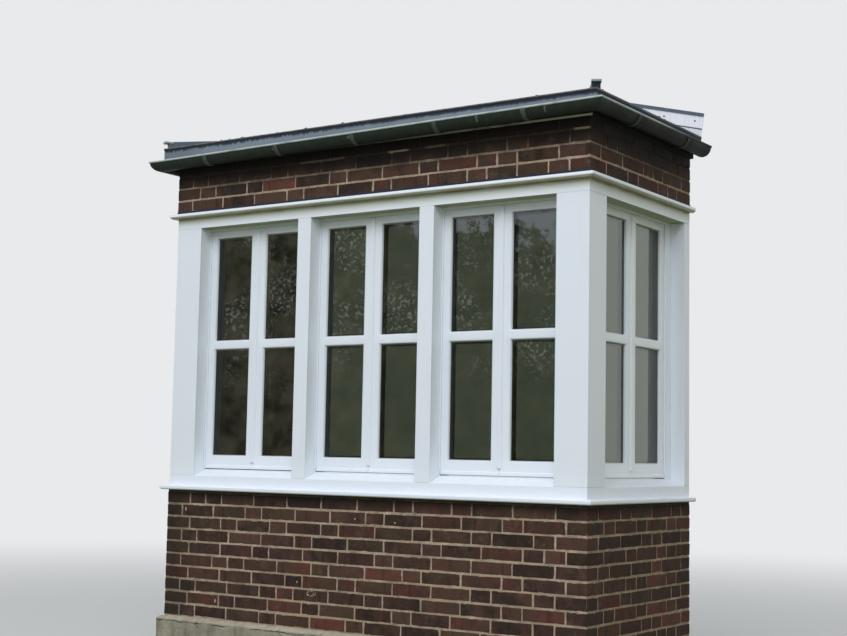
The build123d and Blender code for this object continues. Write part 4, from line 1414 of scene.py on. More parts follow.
class BAY_OT_lay_bricks(bpy.types.Operator):
    """Lay the bricks of the apron and the band in their mortar."""

    bl_idname = "bay.lay_bricks"
    bl_label = "Lay bricks"

    def execute(self, context):
        sizes = settings("masonry")
        bricks = self.bricks("apron_bricks", APRON_BOND, PLINTH_TOP, WALL, sizes.seed)
        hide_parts("apron_front", "apron_left", "apron_right")
        step_back = FACE_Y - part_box("sill_front")[1].y
        step_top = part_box("apron_front")[1].z
        self.mortar(
            "apron_mortar", PLINTH_TOP, SILL_BOTTOM,
            [(step_back, SILL_BOTTOM), (step_back, step_top), (-WALL, step_top), (-WALL, PLINTH_TOP)],
        )
        first_course = BAND_TOP - len(BAND_BOND) * sizes.course
        bricks = self.bricks("band_bricks", BAND_BOND, first_course, WALL - SKIN, sizes.seed + 1)
        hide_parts("band_front", "band_left", "band_right")
        felt_top = CAP_TOP + sizes.felt_height
        inside = SKIN - WALL
        self.mortar("band_mortar", felt_top, BAND_TOP, [(inside, BAND_TOP), (inside, felt_top)])

        felt = Form()
        proud = 0.0015
        profile = [(proud, CAP_TOP), (proud, felt_top), (inside, felt_top), (inside, CAP_TOP)]
        wrap(felt, profile, 0.03, ragged_felt)
        felt.piece("band_felt", felt_finish(), "brick")
        lining = Form()
        profile = [(inside, CAP_TOP), (inside, BAND_TOP), (-WALL, BAND_TOP), (-WALL, CAP_TOP)]
        wrap(lining, profile, 0.4)
        lining.piece("band_plaster", plaster_finish(), "brick")
        self.splashes()
        return {"FINISHED"}

    def bricks(self, name, bonds, base, behind, seed):
        """All courses of one wall."""
        layer = BrickLayer(seed)
        for index, bond in enumerate(bonds):
            layer.course(base + index * layer.sizes.course, bond, index, behind)
        return layer.form.piece(name, brick_finish(), "brick")

    def mortar(self, name, bottom, top, back):
        """The mortar of one wall: its face between two heights, closed by the rest of its profile."""
        recess = settings("masonry").recess
        face = [(-recess, height) for height in steps(bottom, top, MORTAR_CELL)]
        joints = Form()
        wrap(joints, face + back, MORTAR_CELL, rough_mortar, MORTAR_GAP)
        joints.piece(name, mortar_finish(), "brick")

    def splashes(self):
        """Specks of lime and one patch of it on the front bricks: across, up, width and height."""
        form = Form()
        chance = random.Random(8)
        for across, up, width, height in LIME_MARKS:
            lump(form, (across, FACE_Y - 0.0008, up), (width / 2, 0.0018, height / 2), chance)
        across, up, width, height = LIME_BLOOM
        for _ in range(BLOOM_SPECKS):
            turn, far = chance.uniform(0, 2 * math.pi), chance.uniform(0.55, 1.0)
            middle = (
                across + width * far * math.cos(turn), FACE_Y - 0.0004,
                up + height * far * math.sin(turn),
            )
            lump(form, middle, (chance.uniform(0.0012, 0.0045), 0.0014, 0.0018), chance)
        form.piece("lime_splashes", lime_finish(), "brick")


def ragged_felt(point, out, reach):
    """The cut edge of the felt wanders a little in and out, and its top a little up and down."""
    if reach < 0:
        return point
    wave = waves(point, FELT_WAVES)
    lift = 0.0 if point.z < CAP_TOP + 0.001 else noise.noise(point * 12.0) * 0.0025
    return point + Vector((out.x * wave, out.y * wave, lift))


def worn_concrete(point, out, reach):
    """Weathering that takes a little off the outer faces and more off the corners."""
    if reach < -0.01:
        return point
    away = Vector((out.x, out.y, 0))
    pit_scale, pit_depth = PLINTH_PITS
    pits = abs(noise.fractal(point * pit_scale, 1.0, 2.1, 4)) * pit_depth
    chips = chipped(point, PLINTH_CHIPS)
    from_corner = abs(abs(point.x) - HALF_WIDTH - reach) + abs(point.y - FACE_Y + reach)
    wear_reach, wear_depth = PLINTH_WEAR
    corner = max(0.0, 1.0 - from_corner / wear_reach) * wear_depth
    edge = 0.0 if point.z < PLINTH_TOP - 0.03 else 0.6
    sink = Vector((0, 0, -1)) * (pits * 0.8 + chips) * edge
    return point - away * (pits + chips * 0.5 + corner) + sink


class BAY_OT_cast_plinth(bpy.types.Operator):
    """Cast the weathered concrete plinth with its sloped top."""

    bl_idname = "bay.cast_plinth"
    bl_label = "Cast plinth"

    def execute(self, context):
        reach = FACE_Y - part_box("plinth_front")[0].y
        cell, slope = 0.018, 0.016
        shoulder = PLINTH_TOP - slope
        profile = [(reach, height) for height in steps(0.0, shoulder - 0.006, cell)]
        profile += [(reach - 0.0012, shoulder - 0.0018), (reach - 0.005, shoulder + 0.0015)]
        profile += [
            (across, shoulder + slope * (1 - across / reach))
            for across in steps(reach - 0.012, 0.0, 0.01)
        ]
        profile += [(-0.05, PLINTH_TOP), (-WALL, PLINTH_TOP), (-WALL, 0.0), (0.0, 0.0)]
        cast = Form()
        wrap(cast, profile, cell, worn_concrete)
        made = cast.piece("plinth_cast", concrete_finish(), "concrete")
        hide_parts("plinth_front", "plinth_left", "plinth_right")
        return {"FINISHED"}


# Joinery

# The drip bar at the foot of a leaf and the astragal over the line between two leaves
DRIP_HEIGHT = 0.024
DRIP_SLANT = 0.0033
ASTRAGAL_HALF = 0.0155
ASTRAGAL_FOOT = 0.040
ASTRAGAL_SLANT = 0.0052

# Round a pane: the sheets' distance to the timber, the seal's reach out and height, the bead's height,
# and how far the rings stay off the glass
PANE_CLEAR = 0.0006
SEAL_OUT = 0.0022
SEAL_HEIGHT = 0.0028
BEAD_HEIGHT = 0.011
TOUCH = 0.0002


class BAY_OT_paint_joinery(bpy.types.Operator):
    """Ease and paint the sill, the posts, the head, the cap and the window boards."""

    bl_idname = "bay.paint_joinery"
    bl_label = "Paint joinery"

    def execute(self, context):
        edge = settings("timber").arris
        for side in SIDES:
            eased(f"sill_{side}", paint_finish(), edge)
            eased(f"head_{side}", paint_finish(), edge * 0.6)
        for node in (
            "corner_post_left", "corner_post_right", "mullions", "wall_post_left",
            "wall_post_right", "cap_moulding", "room_board",
        ):
            eased(node, paint_finish(), edge)
        return {"FINISHED"}


def front_to_side(side):
    """Turn from a window of the front to one of the left or right side."""
    turns = {"front": 0.0, "left": -90.0, "right": 90.0}
    return Matrix.Rotation(math.radians(turns[side]), 4, "Z")


def unturned(box, side):
    """A box of a side window, seen as if that side were the front."""
    back = front_to_side(side).inverted()
    low, high = back @ box[0], back @ box[1]
    return Vector(map(min, low, high)), Vector(map(max, low, high))


def side_of(window):
    """The side of the bay that a window is in."""
    return window.removeprefix("side_") if window.startswith("side_") else "front"


def panes_of(window):
    """The four panes of a window as boxes, seen as if its side were the front."""
    side = side_of(window)
    low, high = unturned(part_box(f"leaves_{window}"), side)
    panes = [unturned(box, side) for box in solids_of(f"glass_{side}")]
    inside = [box for box in panes if low.x < box[0].x and box[1].x < high.x]
    return sorted(inside, key=lambda box: (round(box[0].x, 3), box[0].z))


def leaf_mesh(low, high, holes, chamfer, edge):
    """A window leaf with its two pane openings, sloped towards the panes and eased outside."""
    def in_pane(place, margin):
        return any(
            hole[0].x - margin < place.x < hole[1].x + margin
            and hole[0].z - margin < place.z < hole[1].z + margin
            for hole in holes
        )

    work = bmesh.new()
    columns = sorted({low.x, high.x, holes[0][0].x, holes[0][1].x})
    rows = sorted({low.z, high.z, *(part.z for hole in holes for part in hole)})
    points = [[work.verts.new((x, low.y, z)) for z in rows] for x in columns]
    for i in range(len(columns) - 1):
        for j in range(len(rows) - 1):
            middle = Vector(((columns[i] + columns[i + 1]) / 2, 0.0, (rows[j] + rows[j + 1]) / 2))
            if not in_pane(middle, 0.0):
                corners = (points[i][j], points[i + 1][j], points[i + 1][j + 1], points[i][j + 1])
                work.faces.new(corners)
    front = list(work.faces)
    made = bmesh.ops.extrude_face_region(work, geom=front, use_keep_orig=True)
    back = [item for item in made["geom"] if isinstance(item, bmesh.types.BMVert)]
    bmesh.ops.translate(work, verts=back, vec=(0, high.y - low.y, 0))
    bmesh.ops.recalc_face_normals(work, faces=work.faces)

    def at_pane(line):
        in_front = all(abs(end.co.y - low.y) < WELD for end in line.verts)
        return in_front and in_pane((line.verts[0].co + line.verts[1].co) / 2, WELD)

    def outside(end):
        off = (end.co.x - low.x, end.co.x - high.x, end.co.z - low.z, end.co.z - high.z)
        return min(map(abs, off)) < WELD

    bevel(work, [line for line in sharp_lines(work) if at_pane(line)], chamfer, 1)
    bevel(work, [line for line in sharp_lines(work) if all(map(outside, line.verts))], edge)
    return work


def slanted_bar(form, low, high, slant, left=1.0, right=1.0):
    """A bar on the outer face whose sides slant back, its ends by these shares of the slant."""
    x0, x1, z0, z1 = low.x, high.x, low.z, high.z
    round_off = 0.0016
    rings = (
        (high.y, 0.0), (low.y + round_off, slant - round_off * 0.3),
        (low.y + round_off * 0.3, slant + round_off * 0.2), (low.y, slant + round_off),
    )
    points = []
    for y, inset in rings:
        points += rectangle(y, x0 + inset * left, z0 + inset, x1 - inset * right, z1 - inset)
    form.add(points, tube(len(rings), 4))


def rectangle(y, x0, z0, x1, z1):
    """The corners of an upright rectangle at one depth."""
    return [Vector((x0, y, z0)), Vector((x1, y, z0)), Vector((x1, y, z1)), Vector((x0, y, z1))]


class BAY_OT_hang_windows(bpy.types.Operator):
    """Hang the pairs of leaves in their frames, with glazing bars, astragals and drip bars."""

    bl_idname = "bay.hang_windows"
    bl_label = "Hang windows"

    def execute(self, context):
        timber = settings("timber")
        for window in WINDOWS:
            eased(f"frame_{window}", paint_finish(), timber.arris * 0.7)
            self.leaves(window, timber)
        return {"FINISHED"}

    def leaves(self, window, timber):
        """Both leaves of one window."""
        side = side_of(window)
        low, high = unturned(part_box(f"leaves_{window}"), side)
        face = high.y - timber.leaf_depth
        lap, seat = 0.013, 0.0003
        leaf_width = (high.x - low.x - timber.leaf_gap) / 2
        panes = panes_of(window)
        form = Form()
        for index, start in enumerate((low.x, high.x - leaf_width)):
            stop = start + leaf_width
            form.add_mesh(leaf_mesh(
                Vector((start, face, low.z)), Vector((stop, high.y, high.z)),
                panes[2 * index:2 * index + 2], timber.pane_chamfer, timber.arris * 0.8,
            ))
            is_left = index == 0
            bar_low = Vector((start + lap * is_left, low.y, low.z))
            bar_high = Vector((stop - lap * (not is_left), face, low.z + DRIP_HEIGHT))
            slanted_bar(form, bar_low, bar_high, DRIP_SLANT, float(is_left), float(not is_left))
        middle = (low.x + high.x) / 2
        slanted_bar(
            form, Vector((middle - ASTRAGAL_HALF, low.y, low.z + ASTRAGAL_FOOT)),
            Vector((middle + ASTRAGAL_HALF, face - seat, high.z - lap)), ASTRAGAL_SLANT,
        )
        form.move(front_to_side(side))
        made = form.piece(f"leaves_{window}_hung", paint_finish(), "painted_timber")
        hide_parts(f"leaves_{window}")


class BAY_OT_glaze_windows(bpy.types.Operator):
    """Glaze each pane with two sheets, a spacer bar, seals and room-side beads."""

    bl_idname = "bay.glaze_windows"
    bl_label = "Glaze windows"

    def execute(self, context):
        for side in SIDES:
            sheets, spacers, seals, beads = forms = Form(), Form(), Form(), Form()
            for window in WINDOWS:
                if side_of(window) == side:
                    back = unturned(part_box(f"leaves_{window}"), side)[1].y
                    for low, high in panes_of(window):
                        self.pane(low, high, back, forms)
            for form in forms:
                form.move(front_to_side(side))
            made = sheets.piece(f"glass_{side}_sheets", glass_finish(), "glass")
            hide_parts(f"glass_{side}")
            spacers.piece(f"glass_{side}_spacers", spacer_finish(), "glass")
            seals.piece(f"glass_{side}_seals", seal_finish(), "painted_timber")
            beads.piece(f"glass_{side}_beads", paint_finish(), "painted_timber")
        return {"FINISHED"}

    def pane(self, low, high, back, forms):
        """One double-glazed pane in its opening."""
        sizes = settings("glass")
        sheets, spacers, seals, beads = forms
        for start in (low.y, high.y - sizes.sheet):
            block(
                sheets, (low.x + PANE_CLEAR, start, low.z + PANE_CLEAR),
                (high.x - PANE_CLEAR, start + sizes.sheet, high.z - PANE_CLEAR), 0.0004,
            )
        inner_faces = (low.y + sizes.sheet + TOUCH, high.y - sizes.sheet - TOUCH)
        hollow_ring(spacers, low, high, inner_faces, sizes.spacer)
        hollow_ring(seals, low, high, (low.y - SEAL_OUT, low.y - TOUCH / 2), SEAL_HEIGHT)
        hollow_ring(beads, low, high, (high.y + TOUCH, back), BEAD_HEIGHT)


def hollow_ring(form, low, high, depths, width):
    """Four bars round the inside of an opening, between two depths."""
    near, far = depths
    outer = (low.x, low.z, high.x, high.z)
    inner = (low.x + width, low.z + width, high.x - width, high.z - width)
    points = []
    for y, edges in ((near, outer), (near, inner), (far, inner), (far, outer)):
        points += rectangle(y, *edges)
    form.add(points, tube(4, 4, closed=True))


# Room side


class BAY_OT_fit_room(bpy.types.Operator):
    """Lay the floorboards and plaster the room side."""

    bl_idname = "bay.fit_room"
    bl_label = "Fit room side"

    def execute(self, context):
        sizes = settings("room")
        low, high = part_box("floor_slab")
        slab = Form()
        underlay, narrowest = 0.0005, 0.02
        block(slab, low, (high.x, high.y, high.z - sizes.board_depth - underlay), 0.002)
        slab.piece("floor_core", slab_finish(), "floor")
        chance = random.Random(5)
        boards = Form()
        across = low.y
        while across < high.y - narrowest:
            edge = min(across + sizes.board_width, high.y)
            start = low.x
            cut = low.x + chance.uniform(0.4, 2.1)
            for end in (cut, high.x):
                block(
                    boards, (start, across, high.z - sizes.board_depth),
                    (end - sizes.board_gap, edge - sizes.board_gap, high.z), 0.0015,
                    tone=(chance.random(), chance.random(), 0.0),
                )
                start = end
            across = edge
        made = boards.piece("floor_boards", floor_finish(), "floor")
        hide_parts("floor_slab")
        refinish("ceiling", plaster_finish())
        refinish("room_plaster", plaster_finish())
        return {"FINISHED"}


# Plate, neck and lever of a handle: half width, near and far depth, reach down and up, and rounding
HANDLE = (
    (0.013, 0.0, 0.009, 0.065, 0.065, 0.003),
    (0.009, 0.009, 0.04, 0.009, 0.009, 0.004),
    (0.008, 0.034, 0.046, 0.115, 0.012, 0.004),
)
# Place of the handle, right of the middle of the window and above its foot
HANDLE_PLACE = (0.024, 0.62)
# A hinge: its reach out and in over the edge of the leaf, half height, depth and place from the ends
HINGE_OUT, HINGE_IN = 0.006, 0.008
HINGE_HALF = 0.045
HINGE_DEPTH = 0.012
HINGE_INSET = 0.16


class BAY_OT_fit_handles(bpy.types.Operator):
    """Fit a lever handle and hinges on the room side of each window."""

    bl_idname = "bay.fit_handles"
    bl_label = "Fit handles and hinges"

    def execute(self, context):
        form = Form()
        for window in WINDOWS:
            side = side_of(window)
            low, high = unturned(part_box(f"leaves_{window}"), side)
            aside, above = HANDLE_PLACE
            place = Vector(((low.x + high.x) / 2 + aside, high.y, low.z + above))
            part = Form()
            for half, near, far, down, up, rounding in HANDLE:
                corner = place + Vector((-half, near, -down))
                block(part, corner, place + Vector((half, far, up)), rounding)
            for edge, way in ((low.x, 1), (high.x, -1)):
                left, right = sorted((edge - way * HINGE_OUT, edge + way * HINGE_IN))
                for height in (low.z + HINGE_INSET, high.z - HINGE_INSET):
                    block(
                        part, (left, high.y - 0.002, height - HINGE_HALF),
                        (right, high.y + HINGE_DEPTH, height + HINGE_HALF), 0.004,
                    )
            part.move(front_to_side(side))
            form.add(part.points, part.faces)
        form.piece("window_fittings", fitting_finish(), "bright_zinc")
        return {"FINISHED"}


# Eaves and roof

# Solder on the outside of the front gutter: place across, width, and angles below the rim in degrees
GUTTER_MARKS = (
    (1.283, 0.010, 6, 42), (0.855, 0.012, 2, 44), (-0.026, 0.016, 16, 32), (-0.600, 0.008, 20, 34),
)


def gutter_mark(form, start, end, low, high):
    """A thin patch on the front gutter, between two places across and two angles below its rim."""
    zinc = settings("zinc")
    sunk, proud = -0.0003, 0.0007
    rows = steps(low, high, math.radians(7))
    points = []
    for angle in rows:
        for lift, across in ((sunk, start), (proud, start), (proud, end), (sunk, end)):
            reach = zinc.gutter_centre + (zinc.gutter_radius + lift) * math.cos(angle)
            rim = zinc.gutter_rim + zinc.gutter_fall / 2 * across / (HALF_WIDTH + zinc.gutter_centre)
            drop = (zinc.gutter_depth + lift) * math.sin(angle)
            wobble = 0.004 * noise.noise(Vector((across * 90, angle * 4, 0)))
            points.append(Vector((across + wobble, FACE_Y - reach, rim - drop)))
    form.add(points, tube(len(rows), 4))


class BAY_OT_dress_eaves(bpy.types.Operator):
    """Finish the board behind the gutter, the strip over it, the gutter, its joints and its straps."""

    bl_idname = "bay.dress_eaves"
    bl_label = "Dress eaves"

    def execute(self, context):
        refinish("frieze_board", frieze_finish())
        refinish("eaves_strip", strip_zinc())
        for side in SIDES:
            refinish(f"gutter_{side}", gutter_zinc())
        refinish("gutter_straps", strap_zinc())
        form = Form()
        for across, width, low, high in GUTTER_MARKS:
            start, end = across - width / 2, across + width / 2
            gutter_mark(form, start, end, math.radians(low), math.radians(high))
        form.piece("gutter_solder", solder_finish(), "zinc")
        return {"FINISHED"}


# The plate over the end of a hip batten: its corners from the batten's end, and the batten's height
PLATE = ((-0.027, -0.004, -0.0075), (0.027, 0.050, 0.0035))
BATTEN_TOP = 0.0405
CRUMBS = 210
CRUMBS_IN_FRONT = 0.62


def roof_height(across, depth):
    """Top of the roof sheet at a place of the plan: the lower of the front and side slopes."""
    zinc = settings("zinc")
    rise = DECK_HIGH.z - DECK_LOW.z - zinc.deck
    front = (depth - DECK_LOW.y) / (BACK_Y - DECK_LOW.y)
    side = (DECK_HIGH.x - abs(across)) / zinc.side_run
    return SHEET_HIGH.z - rise + rise * min(front, side, 1.0)


def seam(form, start, end, eaves):
    """A standing seam on the roof sheet that rises from nothing at the eaves."""
    zinc = settings("zinc")
    along = (end - start).normalized()
    across = Vector((-along.y, along.x)) * zinc.seam_width / 2
    pitch, climb = 0.04, 0.065
    rows = steps(0.0, (end - start).length, pitch)
    sunk, rounded = 0.002, 0.001
    points = []
    for far in rows:
        place = start + along * far
        base = roof_height(place.x, place.y) - sunk
        top = sunk + min(zinc.seam_height, climb * (far + eaves))
        shoulder = top - rounded
        outline = ((-1, 0.0), (-1, shoulder), (-0.6, top), (0.6, top), (1, shoulder), (1, 0.0))
        for side, height in outline:
            points.append(Vector((*(place + across * side), base + height)))
    form.add(points, tube(len(rows), len(outline)))


class BAY_OT_dress_roof(bpy.types.Operator):
    """Finish the roof sheet with low standing seams, the hips, the crumbs on its edge and its timber."""

    bl_idname = "bay.dress_roof"
    bl_label = "Dress roof"

    def execute(self, context):
        zinc = settings("zinc")
        refinish("roof_sheet", roof_zinc())
        refinish("hip_battens", batten_zinc())
        for node in ("roof_deck", "rafters", "wall_bearer"):
            refinish(node, bare_timber())
        form = Form()
        margin = 0.010
        clear_of_hip, clear_of_flashing = 0.045, 0.012
        eaves = DECK_LOW.y
        depth_of_roof = BACK_Y - eaves
        for index in range(-2, 3):
            across = index * zinc.bay
            hip = eaves + (DECK_HIGH.x - abs(across)) / zinc.side_run * depth_of_roof - clear_of_hip
            end = min(hip, FLASHING_LOW.y - clear_of_flashing)
            seam(form, Vector((across, eaves + margin)), Vector((across, end)), margin)
        for side in (-1, 1):
            for index in (1, 2):
                inward = index * zinc.bay
                hip = DECK_HIGH.x - zinc.side_run * inward / depth_of_roof + clear_of_hip
                start = Vector((side * (DECK_HIGH.x - margin), eaves + inward))
                seam(form, start, Vector((side * hip, eaves + inward)), margin)
        form.piece("roof_seams", roof_zinc(), "zinc")
        self.plates()
        self.crumbs()
        return {"FINISHED"}

    def plates(self):
        """Small folded plates over the lower ends of the hip battens."""
        form = Form()
        top = roof_height(DECK_HIGH.x, DECK_LOW.y) + BATTEN_TOP
        for side in (-1, 1):
            plate = Form()
            block(plate, *PLATE, 0.001)
            along = Vector((-settings("zinc").side_run * side, BACK_Y - DECK_LOW.y, 0.0))
            turn = along.to_track_quat("Y", "Z").to_matrix()
            plate.move(turn, Vector((side * DECK_HIGH.x, DECK_LOW.y, top)))
            form.add(plate.points, plate.faces)
        form.piece("batten_plates", plate_zinc(), "zinc")

    def crumbs(self):
        """Moss and mortar crumbs, most of them near the eaves."""
        form = Form()
        chance = random.Random(23)
        for _ in range(CRUMBS):
            inward = 0.006 + abs(chance.gauss(0.0, 0.055))
            if chance.random() < CRUMBS_IN_FRONT:
                across = chance.uniform(DECK_LOW.x + 0.04, DECK_HIGH.x - 0.04)
                place = (across, DECK_LOW.y + inward)
            else:
                side = chance.choice((-1, 1))
                depth = chance.uniform(DECK_LOW.y + 0.05, BACK_Y - 0.03)
                place = (side * (DECK_HIGH.x - inward), depth)
            size = min(0.0075, 0.0018 + chance.expovariate(500.0))
            middle = (*place, roof_height(*place) + size * 0.3)
            lump(form, middle, (size * chance.uniform(1.0, 2.2), size * 1.3, size), chance)
        form.piece("roof_crumbs", crumb_finish(), "zinc")


# Place across of the last fixing on each side, and height of the fixings above the roof sheet
LAST_FIXING = 1.5211
FIXING_HEIGHT = 0.0915
FIXING_RADIUS = 0.0052
FIXING_PROUD = 0.0028


class BAY_OT_dress_flashing(bpy.types.Operator):
    """Finish the flashing against the wall of the building, its cap, laps and fixings."""

    bl_idname = "bay.dress_flashing"
    bl_label = "Dress flashing"

    def execute(self, context):
        zinc = settings("zinc")
        refinish("wall_flashing", lower_zinc())
        refinish("flashing_cap", dark_zinc())
        face, depth = FLASHING_LOW.y, 0.0014
        ridge = DECK_HIGH.x - zinc.side_run
        rise = FLASHING_HIGH.z - SHEET_HIGH.z
        flare = (FLASHING_HIGH.x - DECK_HIGH.x) / rise
        top = rise - zinc.flashing_cap
        outline = ((face, zinc.lap), (face, top), (face - depth, top), (face - depth, zinc.lap))
        points = []
        for side, at_ridge in ((-1, False), (-1, True), (1, True), (1, False)):
            for y, up in outline:
                reach = ridge if at_ridge else DECK_HIGH.x + flare * up
                base = SHEET_HIGH.z if at_ridge else FLASHING_LOW.z
                points.append(Vector((side * reach, y, base + up)))
        plate = Form()
        plate.add(points, tube(4, 4))
        plate.piece("flashing_plate", bright_zinc(), "bright_zinc", FLAT)

        fixings = Form()
        count = round(2 * LAST_FIXING / zinc.fixing_pitch)
        for place in steps(-LAST_FIXING, LAST_FIXING, 2 * LAST_FIXING / count + 1e-6):
            height = roof_height(place, BACK_Y) + FIXING_HEIGHT
            stud(fixings, Vector((place, face - depth, height)), FIXING_RADIUS, FIXING_PROUD)
        fixings.piece("flashing_fixings", strap_zinc(), "bright_zinc", SHARP)
        return {"FINISHED"}


def stud(form, middle, radius, proud):
    """A low round head that stands out of a wall towards -Y."""
    sides = 12
    points = []
    for reach, out in ((radius, 0.0005), (radius, -proud * 0.5), (radius * 0.7, -proud)):
        for index in range(sides):
            turn = 2 * math.pi * index / sides
            points.append(middle + Vector((reach * math.cos(turn), out, reach * math.sin(turn))))
    form.add(points, tube(3, sides))


# Stage

LAMP_SIZE = (14.0, 10.0)
LAMP_AIM = Vector((0.0, 0.0, 1.6))
SENSOR = 36.0
FLOOR_RADIUS = 60.0
# The way in which the panes of the front mirror the surroundings
MIRRORED_WAY = (-0.56, -0.82, 0.0)


def seen_directly(tree):
    """Whether a ray comes from the camera, or through or off glass and metal."""
    rays = tree.put("ShaderNodeLightPath").outputs
    shiny = tree.math("MAXIMUM", rays["Is Glossy Ray"], rays["Is Transmission Ray"])
    return tree.math("MAXIMUM", rays["Is Camera Ray"], shiny)


def stage_floor(colours):
    """Plain pale floor that fades into the backdrop far from the bay."""
    work = bmesh.new()
    bmesh.ops.create_circle(work, cap_ends=True, radius=FLOOR_RADIUS, segments=96)
    mesh = bpy.data.meshes.new("floor")
    work.to_mesh(mesh)
    work.free()
    plain, tree, shader = material("Studio floor")
    grain = tree.ramp(tree.cloud(3.0, 4.0, 0.6), 0.3, 0.7, 0.0, 0.04)
    base = tree.mix(grain, colours.floor, (0.5, 0.5, 0.5))
    seen = seen_directly(tree)
    tree.give(shader.inputs["Base Color"], tree.mix(seen, colours.bounce, base))
    tree.give(shader.inputs["Roughness"], 0.9)
    tree.give(shader.inputs["Specular IOR Level"], 0.1)
    far = tree.put("ShaderNodeVectorMath", {0: tree.place()}, operation="LENGTH").outputs["Value"]
    fade = tree.times(tree.ramp(far, 5.0, 16.0), seen)
    glow = tree.put("ShaderNodeEmission", {"Color": colours.backdrop, "Strength": 1.0}).outputs[0]
    joined = tree.put("ShaderNodeMixShader", {0: fade, 1: shader.outputs[0], 2: glow}).outputs[0]
    tree.give(plain.node_tree.nodes["Material Output"].inputs["Surface"], joined)
    mesh.materials.append(plain)
    return placed("studio_floor", mesh)


def mirrored_world(tree, colours, way):
    """What glass and metal mirror: pale sky over a ragged dark edge with small glints."""
    parts = tree.parts(way)
    across, up = parts["X"], parts["Z"]
    hills = tree.times(tree.minus(tree.cloud(7.0, 3.0, 0.6, where=way), 0.5), 0.10)
    leaves = tree.times(tree.minus(tree.cloud(75.0, 6.0, 0.8, where=way), 0.5), 0.15)
    ragged = tree.minus(tree.plus(up, hills, leaves), tree.ramp(across, -0.55, -0.63, 0.0, 0.035))
    opened = tree.ramp(ragged, colours.mirror_edge - 0.004, colours.mirror_edge + 0.004)
    glints = tree.ramp(tree.cloud(420.0, 2.0, 0.6, where=way), 0.54, 0.62)
    clumps = tree.ramp(tree.cloud(22.0, 4.0, 0.6, where=way), 0.44, 0.58)
    uneven = tree.ramp(tree.cloud(55.0, 4.0, 0.7, where=way), 0.3, 0.7, 0.35, 1.65)
    deep = tree.dim(colours.mirror_low, tree.times(uneven, tree.ramp(across, -0.58, -0.64, 1.0, 1.9)))
    dark = tree.stain(deep, colours.mirror_glint, clumps, tree.ramp(up, 0.03, 0.09), glints, 0.8)
    upward = tree.ramp(up, 0.20, 0.40)
    front = tree.mix(opened, dark, tree.mix(upward, colours.mirror_sky, colours.mirror_high))
    side = tree.mix(upward, colours.mirror_side, colours.mirror_high)
    return tree.mix(tree.ramp(tree.dot(way, MIRRORED_WAY), 0.10, 0.35), side, front)


def stage_world(colours):
    """Pale backdrop for the camera, a soft sky for the light, a dark edge for reflections."""
    world = bpy.data.worlds.new("Studio")
    world.use_nodes = True
    bpy.context.scene.world = world
    tree = Tree(world.node_tree.nodes, world.node_tree.links)
    way = tree.put("ShaderNodeTexCoord").outputs["Generated"]
    parts = tree.parts(way)
    sky = tree.mix(tree.ramp(parts["Z"], -0.1, 1.0), colours.sky_low, colours.sky_high)
    sky = tree.dim(sky, tree.ramp(parts["Y"], -0.28, 0.22, 1.0, colours.behind))
    tinted = tree.mix(1.0, sky, colours.sky_right, "MULTIPLY")
    sky = tree.mix(tree.ramp(parts["X"], 0.05, 0.6), sky, tinted)
    shown = tree.mix(seen_directly(tree), sky, colours.backdrop)
    glossy = tree.put("ShaderNodeLightPath").outputs["Is Glossy Ray"]
    shown = tree.mix(glossy, shown, mirrored_world(tree, colours, way))
    background = world.node_tree.nodes["Background"].inputs
    tree.give(background["Color"], shown)
    tree.give(background["Strength"], 1.0)


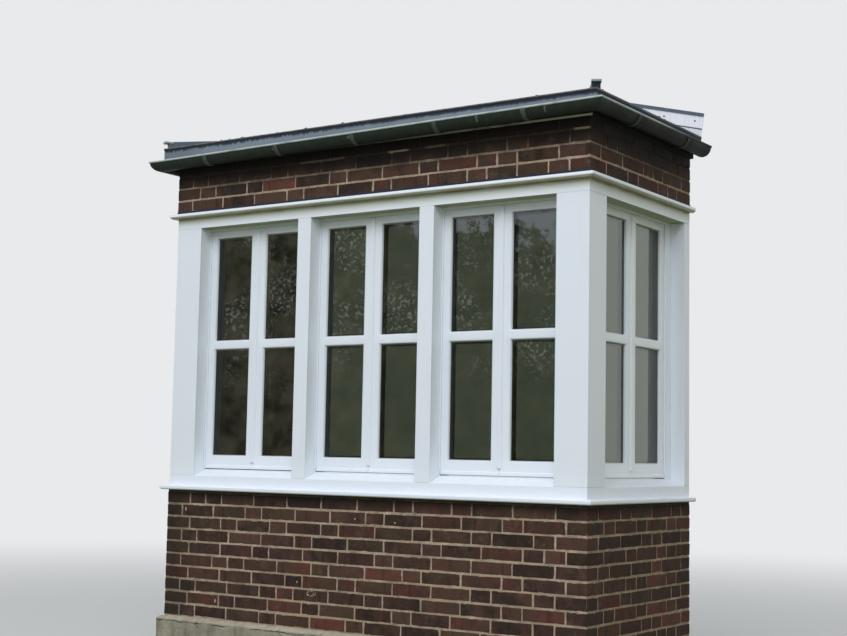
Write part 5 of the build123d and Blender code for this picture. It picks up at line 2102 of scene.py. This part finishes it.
class BAY_OT_set_stage(bpy.types.Operator):
    """Set up the pale floor, the soft light and the camera."""

    bl_idname = "bay.set_stage"
    bl_label = "Set stage"

    def execute(self, context):
        stage = settings("stage")
        stage_world(stage)
        ground = stage_floor(stage)

        soft = bpy.data.lights.new("Soft light", "AREA")
        soft.shape = "RECTANGLE"
        soft.size, soft.size_y = LAMP_SIZE
        soft.energy = stage.lamp_power
        soft_light = placed("soft_light", soft)
        soft_light.location = stage.lamp_place
        soft_light.visible_camera = False
        soft_light.visible_glossy = False
        aim = LAMP_AIM - soft_light.location
        soft_light.rotation_euler = aim.to_track_quat("-Z", "Y").to_euler()

        lens = bpy.data.cameras.new("Camera")
        lens.lens = stage.lens
        lens.sensor_width = SENSOR
        camera = placed("camera", lens)
        turn = Matrix.Rotation(stage.heading, 4, "Z")
        turn = turn @ Matrix.Rotation(math.radians(90) + stage.tilt, 4, "X")
        turn = turn @ Matrix.Rotation(stage.roll, 4, "Z")
        camera.matrix_world = Matrix.Translation(stage.eye) @ turn
        context.scene.camera = camera
        context.scene.view_settings.view_transform = "Standard"
        return {"FINISHED"}


# Add-on

OPERATORS = (
    BAY_OT_cast_plinth,
    BAY_OT_lay_bricks,
    BAY_OT_paint_joinery,
    BAY_OT_hang_windows,
    BAY_OT_glaze_windows,
    BAY_OT_fit_room,
    BAY_OT_fit_handles,
    BAY_OT_dress_eaves,
    BAY_OT_dress_roof,
    BAY_OT_dress_flashing,
    BAY_OT_set_stage,
)


class BAY_PT_panel(bpy.types.Panel):
    """Lists the steps and their settings."""

    bl_idname = "BAY_PT_panel"
    bl_label = "Bay window"
    bl_space_type = "VIEW_3D"
    bl_region_type = "UI"
    bl_category = "Bay window"

    def draw(self, context):
        for kind in OPERATORS:
            self.layout.operator(kind.bl_idname)
        for name in SETTINGS:
            group = getattr(context.scene, name)
            box = self.layout.box()
            for prop in group.bl_rna.properties:
                if prop.identifier not in ("rna_type", "name"):
                    box.prop(group, prop.identifier)


CLASSES = (*SETTINGS.values(), *OPERATORS, BAY_PT_panel)


def register():
    """Add the settings, the steps and the panel."""
    for kind in CLASSES:
        bpy.utils.register_class(kind)
    for name, kind in SETTINGS.items():
        setattr(bpy.types.Scene, name, PointerProperty(type=kind))


def unregister():
    """Remove them again."""
    for name in SETTINGS:
        delattr(bpy.types.Scene, name)
    for kind in reversed(CLASSES):
        bpy.utils.unregister_class(kind)


def main():
    """Build every piece in order."""
    register()
    for kind in OPERATORS:
        family, step = kind.bl_idname.split(".")
        getattr(getattr(bpy.ops, family), step)()


if __name__ == "__main__":
    main()
